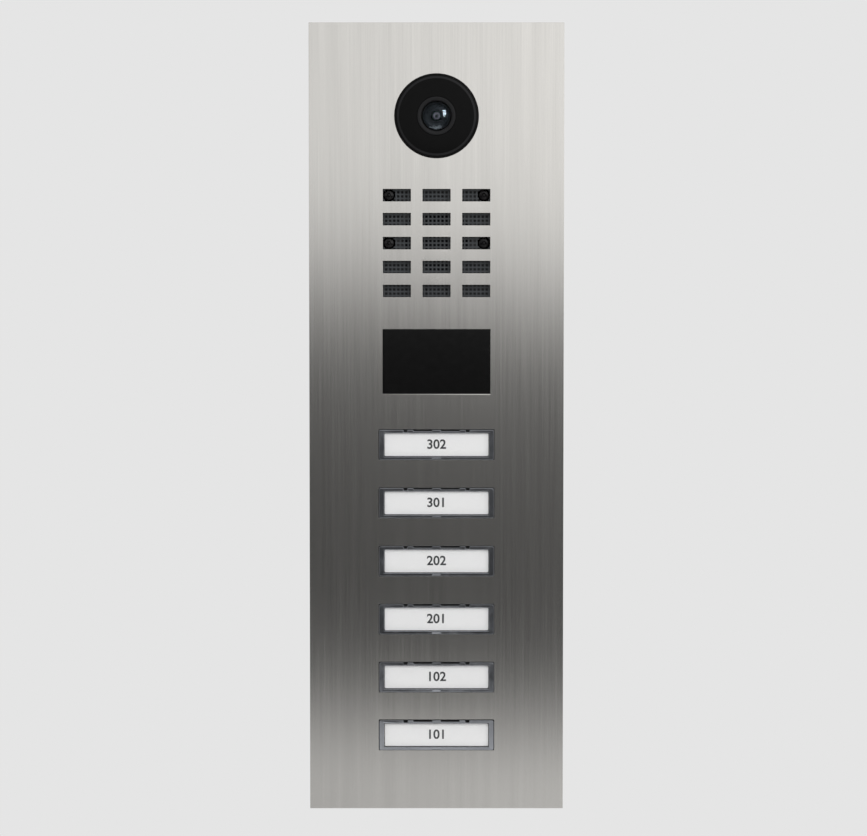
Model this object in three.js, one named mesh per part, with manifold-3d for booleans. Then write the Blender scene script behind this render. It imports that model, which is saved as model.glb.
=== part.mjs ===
// Door intercom panel: a flush-mounted entry station with camera, sound slots, reader and six call buttons.
//
// Millimetres. X runs to the right as seen by a visitor, +Z is up and the front faces -Y.
// The origin is the centre of the front plate's outline, on the wall plane (y = 0).
// The front unit hangs by two hooks on a rod in the back box and is locked by two screws from below.

import * as THREE from "three";
import { mergeVertices } from "three/addons/utils/BufferGeometryUtils.js";
import Module from "manifold-3d";

const wasm = await Module();
wasm.setup();

// ---------------------------------------------------------------- driving dimensions

// General fits
const gap = 0.3; // between faces that rest on each other
const runGap = 0.4; // around a moving or turning piece

// Front plate
const plateWidth = 113;
const plateThickness = 3;
const plateStandOff = 9; // wall plane to the back of the plate
const edgeBreak = 0.4;

// Layout of the front, stacked down from the top edge
const topMargin = 22.75; // plate edge to camera rim
const cameraToSlots = 13.85;
const slotsToWindow = 14.45;
const windowToButtons = 16.25;
const bottomMargin = 26.5; // lowest button to plate edge

// Camera
const cameraDiameter = 36.8;
const cameraProud = 1.2; // front of the cover in front of the plate
const coverBevel = 1.9;
const coverBevelDepth = 1.2;
const coverFlange = 2.2; // how far the rear flange reaches past the cover
const coverFlangeThickness = 1.5;
const coverWall = 2.2;
const lensRingRadius = 8.5;
const lensRingProud = 0.5;
const lensRadius = 6.2;
const lensDepth = 3.3;
const lensCrown = 1.9; // depth of the ellipse that the dome is cut from
const lensSag = 0.75; // how much of that ellipse the dome takes
const barrelThreadRadius = 7;
const barrelBore = 3;
const barrelLength = 12.7;
const cameraBoardSize = 34;
const imageChipSize = 9;

// Sound slots
const slotWidth = 12.4;
const slotHeight = 5.5;
const slotColumns = 3;
const slotRows = 5;
const slotColumnPitch = 17.6;
const slotRowPitch = 10.6;
const grilleMargin = 3;
const grilleThickness = 0.5;

// Infrared lamps, in the outer slots of rows 1 and 3
const lampRows = [0, 2];
const lampSlotGap = 0.25;
const lampInset = 0.2; // lamp edge to slot end
const lampLength = 8.7;
const lampCollar = 0.4;

// Loudspeaker and microphone
const magnetRadius = 9.4;
const magnetLength = 6;
const speakerDepth = 8.7;
const coilBore = 6;
const coneNeckInset = 2.1; // back of the basket to the neck of the cone
const bootRadius = 4.5;
const bootDepth = 3.5;
const soundPortRadius = 2;

// Reader
const windowWidth = 47.3;
const windowHeight = 28.3;
const windowRecess = 0.2;
const windowFlange = 2.4;
const windowFlangeThickness = 1.2;
const antennaTrackWidth = 7;
const antennaThickness = 1;

// Call buttons
const buttonCount = 6;
const buttonWidth = 50.9;
const buttonHeight = 13.2;
const buttonPitch = 26;
const buttonProud = 1;
const buttonTravel = 1;
const capWall = 1; // clear wall in front of the label
const capRimX = 2.35;
const capRimZ = 1.55;
const capCorner = 0.6;
const labelThickness = 0.3;
const hookNotchWidth = 2;
const hookNotchDepth = 0.7;
const hookNotchOffset = 13.8; // centre line to each notch in the top edge
const releaseNotchWidth = 3.2;
const carrierFlange = 1.55; // past the cap all round, behind the plate
const carrierFlangeThickness = 1.2;
const stemRadius = 3.5;
const stemLength = 1.8;
const plungerRadius = 1.5;
const plungerLength = 2.4;
const switchSize = 6;
const switchHeight = 3.2;

// Boards and connectors
const boardThickness = 1.6;
const boardEdgeGap = 1;
const mainBoardBack = 11.6;
const mainBoardMargin = 8.2; // housing wall to the side of the board
const mainBoardTop = 60;
const mainBoardHeight = 130;
const poles = 8;
const polePitch = 4.6;
const terminalHeight = 9;
const terminalDepth = 10;
const terminalWire = 1.3;
const socketWidth = 16;
const socketHeight = 13.4;
const socketDepth = 11;
const socketMouthWidth = 11.8;
const socketMouthHeight = 7.2;
const socketMouthDepth = 9;

// Rear housing
const housingWall = 1.8;
const housingBack = 20;
const housingSealThickness = 1;
const housingSealWidth = 1.8;
const connectorGap = 0.6;

// Mounting frame
const frameSheet = 1.5;
const frameBar = 3.3;
const frameToBox = 0.8;
const hookWidth = 4;
const hookThickness = 3.2;
const hookInset = 13; // frame side to hook centre
const hookLift = 3.4; // upward travel that frees the unit from the rod
const prongOverlap = 1; // how far the rear prong reaches below the rod's centre
const tabThickness = 2.5;
const tabWidth = 14;
const tabInset = 15; // frame side to tab centre

// Back box
const boxWall = 1.2;
const boxDepth = 42; // behind the wall plane
const flangeThickness = 1.2;
const flangeInsetSide = 4; // plate edge to flange edge
const flangeInsetTop = 2.5;
const flangeWidthSide = 3.8;
const flangeWidthTop = 2.3;
const wallSealThickness = 1;
const rodRadius = 2;
const rodOverhang = 0.8;
const lipToPlate = 0.8; // front of the bottom lip to the back of the plate
const fixingHoleRadius = 2.5;
const fixingHoleX = 30;
const fixingHoleZ = 130;
const cableHoleRadius = 10;
const cableHoleX = 24;
const cableHoleY = 22;
const grommetBore = 4.5;
const grommetFlange = 2.2;
const grommetFlangeThickness = 2;

// Locking screws
const screwRadius = 1.5;
const screwHeadLip = 0.95; // head radius past the shank
const screwHeadHeight = 2.8;
const screwTail = 1.7; // thread past the tab
const hexSocketRadius = 1.25;
const hexSocketDepth = 1.6;

// ---------------------------------------------------------------- derived places

const plateBack = -plateStandOff;
const plateFront = plateBack - plateThickness;
const seatY = plateBack + gap; // what sits against the back of the plate starts here

const slotFieldHeight = (slotRows - 1) * slotRowPitch + slotHeight;
const buttonFieldHeight = (buttonCount - 1) * buttonPitch + buttonHeight;
const plateHeight = topMargin + cameraDiameter + cameraToSlots + slotFieldHeight + slotsToWindow
  + windowHeight + windowToButtons + buttonFieldHeight + bottomMargin;
const plateTop = plateHeight / 2;

const cameraRadius = cameraDiameter / 2;
const cameraZ = plateTop - topMargin - cameraRadius;
const slotTopZ = cameraZ - cameraRadius - cameraToSlots;
const slotRowZ = (row) => slotTopZ - slotHeight / 2 - row * slotRowPitch;
const slotColumnX = (column) => (column - (slotColumns - 1) / 2) * slotColumnPitch;
const slotFieldZ = slotRowZ((slotRows - 1) / 2);
const slotFieldWidth = (slotColumns - 1) * slotColumnPitch + slotWidth;
const windowZ = slotTopZ - slotFieldHeight - slotsToWindow - windowHeight / 2;
const buttonZ = (index) => windowZ - windowHeight / 2 - windowToButtons - buttonHeight / 2
  - index * buttonPitch;

const lampRadius = slotHeight / 2 - lampSlotGap;
const lampX = slotColumnX(slotColumns - 1) + slotWidth / 2 - lampInset - lampRadius;
const speakerRadius = lampX - lampRadius - lampCollar - lampInset;
const grilleBack = seatY + grilleThickness;
const microphoneZ = slotRowZ(slotRows - 1);
const speakerZ = microphoneZ + bootRadius + 4 * gap + speakerRadius;

const flangeBack = -wallSealThickness - gap;
const flangeFront = flangeBack - flangeThickness;
const flangeHalfWidth = plateWidth / 2 - flangeInsetSide;
const flangeTop = plateTop - flangeInsetTop;
const flangeBottom = -plateTop + flangeInsetSide;
const boxHalfWidth = flangeHalfWidth - flangeWidthSide;
const boxTop = flangeTop - flangeWidthTop;
const boxBottom = flangeBottom + flangeWidthSide;
const mouthHalfWidth = boxHalfWidth - boxWall;
const mouthTop = boxTop - boxWall;
const mouthBottom = boxBottom + boxWall;
const lipFront = plateBack + lipToPlate;

const sheetBack = seatY + frameSheet;
const hookInnerRadius = rodRadius + runGap;
const hookOuterRadius = hookInnerRadius + hookThickness;
const hingeY = sheetBack + hookInnerRadius;
const hingeZ = mouthTop - hookOuterRadius - hookLift - 2.5 * runGap;
const earRadius = hingeY - plateBack - 1.25 * runGap;
const frameHalfWidth = mouthHalfWidth - frameToBox;
const frameTop = hingeZ + hookOuterRadius;
const frameBottom = mouthBottom + gap;
const housingHalfWidth = frameHalfWidth - frameBar - runGap;
const housingTop = hingeZ - rodRadius - runGap;
const housingBottom = frameBottom + 2 * frameBar + runGap;
const housingFront = seatY + housingSealThickness + gap;
const cavityHalfWidth = housingHalfWidth - housingWall;
const cavityBottom = housingBottom + housingWall;

const capFront = plateFront - buttonProud;
const capBack = seatY - gap;
const labelFront = capFront + capWall + gap;
const carrierFront = labelFront + labelThickness + gap;
const carrierBack = seatY + carrierFlangeThickness;
const stemBack = carrierBack + stemLength;
const plungerFront = stemBack + gap;
const switchFront = plungerFront + buttonTravel + gap / 2;
const frontBoardFront = switchFront + switchHeight + gap;

const lockY = sheetBack + gap + screwRadius;
const screwHeadRadius = screwRadius + screwHeadLip;
const tabBottom = frameBottom;
const tabTop = tabBottom + tabThickness;

// ---------------------------------------------------------------- geometry helpers

const upright = new THREE.Matrix4().set(
  1, 0, 0, 0,
  0, 0, -1, 0,
  0, 1, 0, 0,
  0, 0, 0, 1,
);

/** A rectangle outline centred on (x, z), with optional rounded corners. */
function rectangle(x, z, width, height, corner = 0, PathType = THREE.Shape) {
  const outline = new PathType();
  const [left, right, low, high] = [x - width / 2, x + width / 2, z - height / 2, z + height / 2];
  if (corner === 0) {
    outline.moveTo(left, low).lineTo(right, low).lineTo(right, high).lineTo(left, high);
    outline.closePath();
    return outline;
  }
  outline.moveTo(left + corner, low).lineTo(right - corner, low);
  outline.absarc(right - corner, low + corner, corner, -Math.PI / 2, 0);
  outline.lineTo(right, high - corner);
  outline.absarc(right - corner, high - corner, corner, 0, Math.PI / 2);
  outline.lineTo(left + corner, high);
  outline.absarc(left + corner, high - corner, corner, Math.PI / 2, Math.PI);
  outline.lineTo(left, low + corner);
  outline.absarc(left + corner, low + corner, corner, Math.PI, 1.5 * Math.PI);
  return outline;
}

/** A circular hole for an outline. */
function circle(x, z, radius) {
  return new THREE.Path().absarc(x, z, radius, 0, 2 * Math.PI);
}

/** An outline in XZ made a slab from y = front to y = back. */
function slab(outline, front, back, { bevel = 0, curveSegments = 12 } = {}) {
  const settings = { depth: back - front - 2 * bevel, bevelEnabled: bevel > 0, curveSegments };
  if (bevel > 0) {
    Object.assign(settings, {
      bevelThickness: bevel, bevelSize: bevel, bevelOffset: -bevel, bevelSegments: 1,
    });
  }
  const geometry = new THREE.ExtrudeGeometry(outline, settings);
  geometry.applyMatrix4(upright);
  geometry.translate(0, back - bevel, 0);
  return geometry;
}

/** An outline in YZ made a plate centred on x. */
function sidePlate(outline, x, width) {
  const geometry = new THREE.ExtrudeGeometry(outline, { depth: width, bevelEnabled: false });
  geometry.applyMatrix4(new THREE.Matrix4().set(
    0, 0, 1, x - width / 2,
    1, 0, 0, 0,
    0, 1, 0, 0,
    0, 0, 0, 1,
  ));
  return geometry;
}

/** A box given by its lowest and highest corners. */
function block([x0, y0, z0], [x1, y1, z1]) {
  const geometry = new THREE.BoxGeometry(x1 - x0, y1 - y0, z1 - z0);
  geometry.translate((x0 + x1) / 2, (y0 + y1) / 2, (z0 + z1) / 2);
  return geometry;
}

/** A profile of [radius, y] points turned round the Y direction through (x, z). */
function turned(profile, x, z, segments = 32) {
  const points = profile.map(([radius, y]) => new THREE.Vector2(radius, y));
  const geometry = new THREE.LatheGeometry(points, segments);
  geometry.translate(x, 0, z);
  return geometry;
}

/** A profile of [radius, z] points turned round the upright direction through (x, y). */
function turnedUpright(profile, x, y, segments = 24) {
  const points = profile.map(([radius, z]) => new THREE.Vector2(radius, z));
  const geometry = new THREE.LatheGeometry(points, segments);
  geometry.applyMatrix4(upright);
  geometry.translate(x, y, 0);
  return geometry;
}

/** A cylinder along Y from y = front to y = back. */
function pinY(x, z, radius, front, back, segments = 24) {
  const geometry = new THREE.CylinderGeometry(radius, radius, back - front, segments);
  geometry.translate(x, (front + back) / 2, z);
  return geometry;
}

/** A cylinder along Z from z = low to z = high. */
function pinZ(x, y, radius, low, high, segments = 24) {
  const geometry = new THREE.CylinderGeometry(radius, radius, high - low, segments);
  geometry.applyMatrix4(upright);
  geometry.translate(x, y, (low + high) / 2);
  return geometry;
}

/** A cylinder along X, centred on x = 0. */
function pinX(y, z, radius, length, segments = 24) {
  const geometry = new THREE.CylinderGeometry(radius, radius, length, segments);
  geometry.rotateZ(Math.PI / 2);
  geometry.translate(0, y, z);
  return geometry;
}

/** A closed geometry as a manifold solid. */
function solidOf(geometry) {
  const bare = geometry.clone();
  bare.deleteAttribute("normal");
  bare.deleteAttribute("uv");
  const merged = mergeVertices(bare, 1e-4);
  return new wasm.Manifold(new wasm.Mesh({
    numProp: 3,
    vertProperties: new Float32Array(merged.attributes.position.array),
    triVerts: new Uint32Array(merged.index.array),
  }));
}

/** A manifold solid as a geometry. */
function geometryOf(solid) {
  const mesh = solid.getMesh();
  const geometry = new THREE.BufferGeometry();
  geometry.setAttribute("position", new THREE.BufferAttribute(mesh.vertProperties, 3));
  geometry.setIndex(new THREE.BufferAttribute(mesh.triVerts, 1));
  geometry.computeVertexNormals();
  return geometry;
}

/** The base with some geometries joined to it and others cut from it. */
function shaped(base, { joined = [], cut = [] }) {
  let solid = solidOf(base);
  for (const geometry of joined) {
    solid = solid.add(solidOf(geometry));
  }
  for (const geometry of cut) {
    solid = solid.subtract(solidOf(geometry));
  }
  return geometryOf(solid);
}

// ---------------------------------------------------------------- materials

const finish = (color, roughness, metalness = 0) => () =>
  new THREE.MeshStandardMaterial({ color, roughness, metalness });

const brushedSteel = finish(0xa9a8a4, 0.35, 1);
const zincSteel = finish(0x9a9c9e, 0.45, 1);
const boltSteel = finish(0xb5b5b3, 0.3, 1);
const blackGloss = finish(0x0c0d0f, 0.08);
const blackPlastic = finish(0x1b1c1e, 0.55);
const lensGlass = finish(0x0a0f18, 0.03);
const clearPlastic = finish(0xd8dadb, 0.1);
const labelPaper = finish(0xececee, 0.8);
const trayPlastic = finish(0x3a3b3d, 0.5);
const meshMetal = finish(0x55575a, 0.5, 1);
const lampEpoxy = finish(0x1a1216, 0.1);
const foamRubber = finish(0x222324, 0.9);
const boardGreen = finish(0x1d5a38, 0.5);
const terminalGreen = finish(0x2c8a4a, 0.5);
const coneFabric = finish(0x26272a, 0.9);
const magnetMetal = finish(0x6f7072, 0.4, 1);
const switchPlastic = finish(0x222326, 0.5);
const plungerPlastic = finish(0xd8d3c4, 0.5);

const station = new THREE.Group();
const frontUnit = new THREE.Group();
const wallUnit = new THREE.Group();
station.add(frontUnit, wallUnit);

/** Adds a named piece to a group, in its own material. */
function piece(group, name, geometry, material) {
  const mesh = new THREE.Mesh(geometry, material());
  mesh.name = name;
  group.add(mesh);
}

// ---------------------------------------------------------------- front plate and frame

/** An opening right through the front plate for a rectangular piece. */
function plateOpening(x, z, width, height) {
  return block(
    [x - width / 2, plateFront - 1, z - height / 2],
    [x + width / 2, plateBack + 1, z + height / 2],
  );
}

function frontPlate() {
  const openings = [
    pinY(0, cameraZ, cameraRadius + gap, plateFront - 1, plateBack + 1, 64),
    plateOpening(0, windowZ, windowWidth + 2 * gap, windowHeight + 2 * gap),
  ];
  for (let row = 0; row < slotRows; row += 1) {
    for (let column = 0; column < slotColumns; column += 1) {
      openings.push(plateOpening(slotColumnX(column), slotRowZ(row), slotWidth, slotHeight));
    }
  }
  for (let index = 0; index < buttonCount; index += 1) {
    openings.push(plateOpening(
      0, buttonZ(index), buttonWidth + 2 * gap, buttonHeight + 2 * gap,
    ));
  }
  const blank = slab(
    rectangle(0, 0, plateWidth, plateHeight), plateFront, plateBack, { bevel: edgeBreak },
  );
  return shaped(blank, { cut: openings });
}

/** Side view of a hook: it reaches over the rod from the sheet and opens downwards. */
function hookOutline() {
  const outline = new THREE.Shape();
  const prongTip = hingeZ - prongOverlap;
  outline.moveTo(seatY, prongTip);
  outline.lineTo(sheetBack, prongTip);
  outline.lineTo(sheetBack, hingeZ);
  outline.absarc(hingeY, hingeZ, hookInnerRadius, Math.PI, 0, true);
  outline.lineTo(hingeY + hookInnerRadius, prongTip);
  outline.lineTo(hingeY + hookOuterRadius, prongTip);
  outline.lineTo(hingeY + hookOuterRadius, hingeZ);
  outline.absarc(hingeY, hingeZ, hookOuterRadius, 0, Math.PI / 2);
  outline.lineTo(seatY, frameTop);
  outline.closePath();
  return outline;
}

function mountingFrame() {
  const frameMiddle = (frameTop + frameBottom) / 2;
  const outline = rectangle(0, frameMiddle, 2 * frameHalfWidth, frameTop - frameBottom);
  outline.holes.push(rectangle(
    0, (housingTop + housingBottom) / 2,
    2 * (housingHalfWidth + runGap), housingTop - housingBottom + 2 * runGap, 0, THREE.Path,
  ));
  const hooks = [-1, 1].map((side) => sidePlate(
    hookOutline(), side * (frameHalfWidth - hookInset), hookWidth,
  ));
  const tabs = [-1, 1].map((side) => {
    const x = side * (frameHalfWidth - tabInset);
    return block(
      [x - tabWidth / 2, seatY, tabBottom],
      [x + tabWidth / 2, lockY + screwHeadRadius, tabTop],
    );
  });
  const threads = [-1, 1].map((side) => pinZ(
    side * (frameHalfWidth - tabInset), lockY, screwRadius + gap, tabBottom - 1, tabTop + 1,
  ));
  return shaped(slab(outline, seatY, sheetBack), {
    joined: [...hooks, ...tabs], cut: [...threads, flangeRoom(runGap)],
  });
}

function lockingScrew(side) {
  const headTop = boxBottom - gap;
  const headBottom = headTop - screwHeadHeight;
  const head = turnedUpright([
    [0, headBottom], [screwHeadRadius, headBottom], [screwHeadRadius, headTop],
    [screwRadius, headTop], [screwRadius, tabTop + screwTail], [0, tabTop + screwTail],
  ], side * (frameHalfWidth - tabInset), lockY);
  const drive = pinZ(
    side * (frameHalfWidth - tabInset), lockY, hexSocketRadius,
    headBottom - 1, headBottom + hexSocketDepth, 6,
  );
  return shaped(head, { cut: [drive] });
}

// ---------------------------------------------------------------- camera

/** The room that the cover's flange needs in what lies round it, with a gap to it all round. */
function flangeRoom(room) {
  return pinY(
    0, cameraZ, cameraRadius + coverFlange + room, seatY - 1, seatY + coverFlangeThickness + room,
    48,
  );
}

function cameraCover() {
  const front = plateFront - cameraProud;
  const flangeRear = seatY + coverFlangeThickness;
  const bore = lensRadius + runGap;
  return turned([
    [bore, front - lensRingProud],
    [lensRingRadius - lensRingProud / 2, front - lensRingProud],
    [lensRingRadius, front],
    [cameraRadius - coverBevel, front],
    [cameraRadius, front + coverBevelDepth],
    [cameraRadius, seatY],
    [cameraRadius + coverFlange, seatY],
    [cameraRadius + coverFlange, flangeRear],
    [cameraRadius - coverFlangeThickness, flangeRear],
    [cameraRadius - coverFlangeThickness, front + coverWall],
    [lensRingRadius, front + coverWall],
    [lensRingRadius, flangeRear],
    [bore, flangeRear],
    [bore, front - lensRingProud],
  ], 0, cameraZ, 48);
}

/** The glass front element, with a domed face. */
function cameraLens() {
  const back = plateFront - cameraProud + lensDepth + gap;
  const fall = (share) => lensCrown * (1 - Math.sqrt(1 - lensSag * share ** 2));
  const profile = [0, 1 / 4, 1 / 2, 3 / 4, 1].map((share) => [
    share * lensRadius, back - lensDepth + fall(share),
  ]);
  return turned([...profile, [lensRadius, back], [0, back]], 0, cameraZ, 32);
}

function lensBarrel() {
  const front = plateFront - cameraProud + lensDepth + 2 * gap;
  const shoulder = seatY + coverFlangeThickness + gap;
  const back = front + barrelLength;
  return turned([
    [barrelBore, front],
    [lensRadius, front],
    [lensRadius, shoulder],
    [barrelThreadRadius, shoulder],
    [barrelThreadRadius, back],
    [barrelBore, back],
    [barrelBore, front],
  ], 0, cameraZ);
}

/** The camera board, with its image processor on the back. */
function cameraBoard() {
  const barrelBack = plateFront - cameraProud + lensDepth + 2 * gap + barrelLength;
  const front = barrelBack + gap;
  const half = cameraBoardSize / 2;
  const chip = block(
    [-imageChipSize / 2, front + boardThickness / 2, cameraZ - imageChipSize / 2],
    [imageChipSize / 2, front + 2 * boardThickness, cameraZ + imageChipSize / 2],
  );
  return shaped(
    block([-half, front, cameraZ - half], [half, front + boardThickness, cameraZ + half]),
    { joined: [chip] },
  );
}

// ---------------------------------------------------------------- sound and lamps

const lampPlaces = lampRows.flatMap((row) => [-1, 1].map((side) => [side * lampX, slotRowZ(row)]));

function acousticGrille() {
  const outline = rectangle(
    0, slotFieldZ, slotFieldWidth + 2 * grilleMargin, slotFieldHeight + 2 * grilleMargin,
  );
  for (const [x, z] of lampPlaces) {
    outline.holes.push(circle(x, z, lampRadius + gap));
  }
  return slab(outline, seatY, grilleBack, { curveSegments: 8 });
}

const speakerFront = grilleBack + gap;

function speakerBasket() {
  const rim = speakerRadius - 2.8;
  const rimBack = speakerFront + 1.2;
  const back = speakerFront + speakerDepth;
  return turned([
    [rim, speakerFront],
    [speakerRadius, speakerFront],
    [speakerRadius, rimBack],
    [rim + 1, rimBack],
    [magnetRadius + 1.4, back - 1],
    [magnetRadius + 1.4, back],
    [coilBore, back],
    [coilBore, back - 1],
    [magnetRadius + 0.5, back - 1],
    [rim, rimBack],
    [rim, speakerFront],
  ], 0, speakerZ);
}

function speakerCone() {
  const edge = speakerRadius - 3.2;
  const front = speakerFront + gap;
  const neck = speakerFront + speakerDepth - coneNeckInset;
  return turned([
    [0, neck - 2.9],
    [3, neck - 2.6],
    [5.4, neck - 1.7],
    [6.6, neck - 0.9],
    [edge, front],
    [edge, front + 0.5],
    [7.4, neck],
    [0, neck],
  ], 0, speakerZ);
}

function speakerMagnet() {
  const front = speakerFront + speakerDepth + gap;
  return turned([
    [0, front],
    [magnetRadius, front],
    [magnetRadius, front + magnetLength - 0.6],
    [magnetRadius - 0.6, front + magnetLength],
    [0, front + magnetLength],
  ], 0, speakerZ);
}

/** The microphone capsule in its rubber boot, with the sound port to the front. */
function microphone() {
  const front = grilleBack + gap;
  return turned([
    [0, front + 1],
    [soundPortRadius, front + 1],
    [soundPortRadius, front],
    [bootRadius, front],
    [bootRadius, front + bootDepth],
    [0, front + bootDepth],
  ], 0, microphoneZ, 24);
}

/** A lamp: round-nosed body with a collar at its foot, standing on the front board. */
function lamp(x, z) {
  const foot = frontBoardFront - gap;
  const nose = foot - lampLength;
  const dome = [0, 1, 2, 3, 4].map((step) => {
    const angle = (step / 4) * (Math.PI / 2);
    return [lampRadius * Math.sin(angle), nose + lampRadius * (1 - Math.cos(angle))];
  });
  return turned([
    ...dome,
    [lampRadius, foot - 1],
    [lampRadius + lampCollar, foot - 1],
    [lampRadius + lampCollar, foot],
    [0, foot],
  ], x, z, 20);
}

// ---------------------------------------------------------------- reader

function readerWindow() {
  const flange = rectangle(
    0, windowZ, windowWidth + 2 * windowFlange, windowHeight + 2 * windowFlange, 1,
  );
  const pane = block(
    [-windowWidth / 2, plateFront + windowRecess, windowZ - windowHeight / 2],
    [windowWidth / 2, seatY + windowFlangeThickness / 2, windowZ + windowHeight / 2],
  );
  return shaped(slab(flange, seatY, seatY + windowFlangeThickness, { curveSegments: 2 }), {
    joined: [pane],
  });
}

/** The antenna board: a frame that carries the printed coil. */
function readerAntenna() {
  const front = seatY + windowFlangeThickness + gap;
  const outline = rectangle(0, windowZ, windowWidth, windowHeight);
  outline.holes.push(rectangle(
    0, windowZ, windowWidth - 2 * antennaTrackWidth, windowHeight - 2 * antennaTrackWidth,
    0, THREE.Path,
  ));
  return slab(outline, front, front + antennaThickness);
}

// ---------------------------------------------------------------- call buttons

/** The clear cap: hollow from behind, with two hook notches above and a release notch below. */
function buttonCap(z) {
  const outer = rectangle(0, z, buttonWidth, buttonHeight, capCorner);
  const pocket = block(
    [-buttonWidth / 2 + capRimX - gap, capFront + capWall, z - buttonHeight / 2 + capRimZ - gap],
    [buttonWidth / 2 - capRimX + gap, capBack + 1, z + buttonHeight / 2 - capRimZ + gap],
  );
  const top = z + buttonHeight / 2;
  const bottom = z - buttonHeight / 2;
  const notches = [-hookNotchOffset, hookNotchOffset].map((x) => block(
    [x - hookNotchWidth / 2, capFront - 1, top - hookNotchDepth],
    [x + hookNotchWidth / 2, capFront + hookNotchDepth, top + 1],
  ));
  notches.push(block(
    [-releaseNotchWidth / 2, capFront - 1, bottom - 1],
    [releaseNotchWidth / 2, capFront + hookNotchDepth, bottom + hookNotchDepth],
  ));
  return shaped(slab(outer, capFront, capBack, { bevel: edgeBreak / 2, curveSegments: 2 }), {
    cut: [pocket, ...notches],
  });
}

function nameLabel(z) {
  const outline = rectangle(0, z, buttonWidth - 2 * capRimX, buttonHeight - 2 * capRimZ);
  return slab(outline, labelFront, labelFront + labelThickness);
}

/** The carrier: a tray under the label, a flange behind the plate and a stem for the switch. */
function buttonCarrier(z) {
  const flange = rectangle(
    0, z, buttonWidth + 2 * carrierFlange, buttonHeight + 2 * carrierFlange,
  );
  const tray = block(
    [-buttonWidth / 2 + capRimX, carrierFront, z - buttonHeight / 2 + capRimZ],
    [buttonWidth / 2 - capRimX, seatY + carrierFlangeThickness / 2, z + buttonHeight / 2 - capRimZ],
  );
  const stem = pinY(0, z, stemRadius, seatY + carrierFlangeThickness / 2, stemBack, 16);
  return shaped(slab(flange, seatY, carrierBack), { joined: [tray, stem] });
}

/** The key switch, with a well for its plunger. */
function switchBody(z) {
  const half = switchSize / 2;
  const floor = plungerFront + buttonTravel + plungerLength + gap;
  return shaped(
    block([-half, switchFront, z - half], [half, switchFront + switchHeight, z + half]),
    { cut: [pinY(0, z, plungerRadius + gap, switchFront - 1, floor, 16)] },
  );
}

function switchPlunger(z) {
  return turned([
    [0, plungerFront],
    [plungerRadius - 0.3, plungerFront],
    [plungerRadius, plungerFront + 0.3],
    [plungerRadius, plungerFront + plungerLength],
    [0, plungerFront + plungerLength],
  ], 0, z, 16);
}

// ---------------------------------------------------------------- boards and connectors

/** The board behind the front: it carries lamps and switches and clears the loudspeaker. */
function frontBoard() {
  const top = slotTopZ + 2 * grilleMargin;
  const bottom = cavityBottom + boardEdgeGap;
  const outline = rectangle(
    0, (top + bottom) / 2, 2 * (cavityHalfWidth - boardEdgeGap), top - bottom,
  );
  outline.holes.push(circle(0, speakerZ, magnetRadius + 3));
  return slab(outline, frontBoardFront, frontBoardFront + boardThickness, { curveSegments: 16 });
}

const mainBoardFront = mainBoardBack - boardThickness;
const connectorFront = mainBoardBack + gap;
const terminalZ = mainBoardTop - mainBoardHeight + 2 * terminalHeight;
const socketZ = mainBoardTop - 2 * socketHeight;
const terminalWidth = poles * polePitch + 2;

/** The main board, with a processor cooler and two capacitors on its front side. */
function mainBoard() {
  const half = cavityHalfWidth - mainBoardMargin;
  const low = mainBoardTop - mainBoardHeight;
  const cooler = block([-12, mainBoardFront - 3.5, 8], [12, mainBoardFront + 0.5, 32]);
  const capacitors = [-1, 1].map((side) => pinY(
    side * 18, low + 20, 4, mainBoardFront - 4.5, mainBoardFront + 0.5, 16,
  ));
  return shaped(block([-half, mainBoardFront, low], [half, mainBoardBack, mainBoardTop]), {
    joined: [cooler, ...capacitors],
  });
}

function terminalBlock() {
  const back = connectorFront + terminalDepth;
  const wires = Array.from({ length: poles }, (_, index) => pinY(
    (index - (poles - 1) / 2) * polePitch, terminalZ, terminalWire, back - 4, back + 1, 12,
  ));
  return shaped(block(
    [-terminalWidth / 2, connectorFront, terminalZ - terminalHeight / 2],
    [terminalWidth / 2, back, terminalZ + terminalHeight / 2],
  ), { cut: wires });
}

function networkSocket() {
  const back = connectorFront + socketDepth;
  const mouth = block(
    [-socketMouthWidth / 2, back - socketMouthDepth, socketZ - socketMouthHeight / 2],
    [socketMouthWidth / 2, back + 1, socketZ + socketMouthHeight / 2],
  );
  return shaped(block(
    [-socketWidth / 2, connectorFront, socketZ - socketHeight / 2],
    [socketWidth / 2, back, socketZ + socketHeight / 2],
  ), { cut: [mouth] });
}

// ---------------------------------------------------------------- rear housing

/** The moulded tray over the electronics, open to the front, with windows for the connectors. */
function rearHousing() {
  const cavity = block(
    [-cavityHalfWidth, housingFront - 1, cavityBottom],
    [cavityHalfWidth, housingBack - housingWall, housingTop - housingWall],
  );
  const terminalWindow = block(
    [-terminalWidth / 2 - connectorGap, housingBack - housingWall - 1,
      terminalZ - terminalHeight / 2 - connectorGap],
    [terminalWidth / 2 + connectorGap, housingBack + 1,
      terminalZ + terminalHeight / 2 + connectorGap],
  );
  const socketWindow = block(
    [-socketWidth / 2 - connectorGap, housingBack - housingWall - 1,
      socketZ - socketHeight / 2 - connectorGap],
    [socketWidth / 2 + connectorGap, housingBack + 1, socketZ + socketHeight / 2 + connectorGap],
  );
  return shaped(block(
    [-housingHalfWidth, housingFront, housingBottom],
    [housingHalfWidth, housingBack, housingTop],
  ), { cut: [cavity, terminalWindow, socketWindow, flangeRoom(gap)] });
}

function housingSeal() {
  const middle = (housingTop + housingBottom) / 2;
  const height = housingTop - housingBottom;
  const outline = rectangle(0, middle, 2 * housingHalfWidth, height);
  outline.holes.push(rectangle(
    0, middle, 2 * (housingHalfWidth - housingSealWidth), height - 2 * housingSealWidth,
    0, THREE.Path,
  ));
  return shaped(slab(outline, seatY, seatY + housingSealThickness), { cut: [flangeRoom(gap / 6)] });
}

// ---------------------------------------------------------------- wall side

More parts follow.
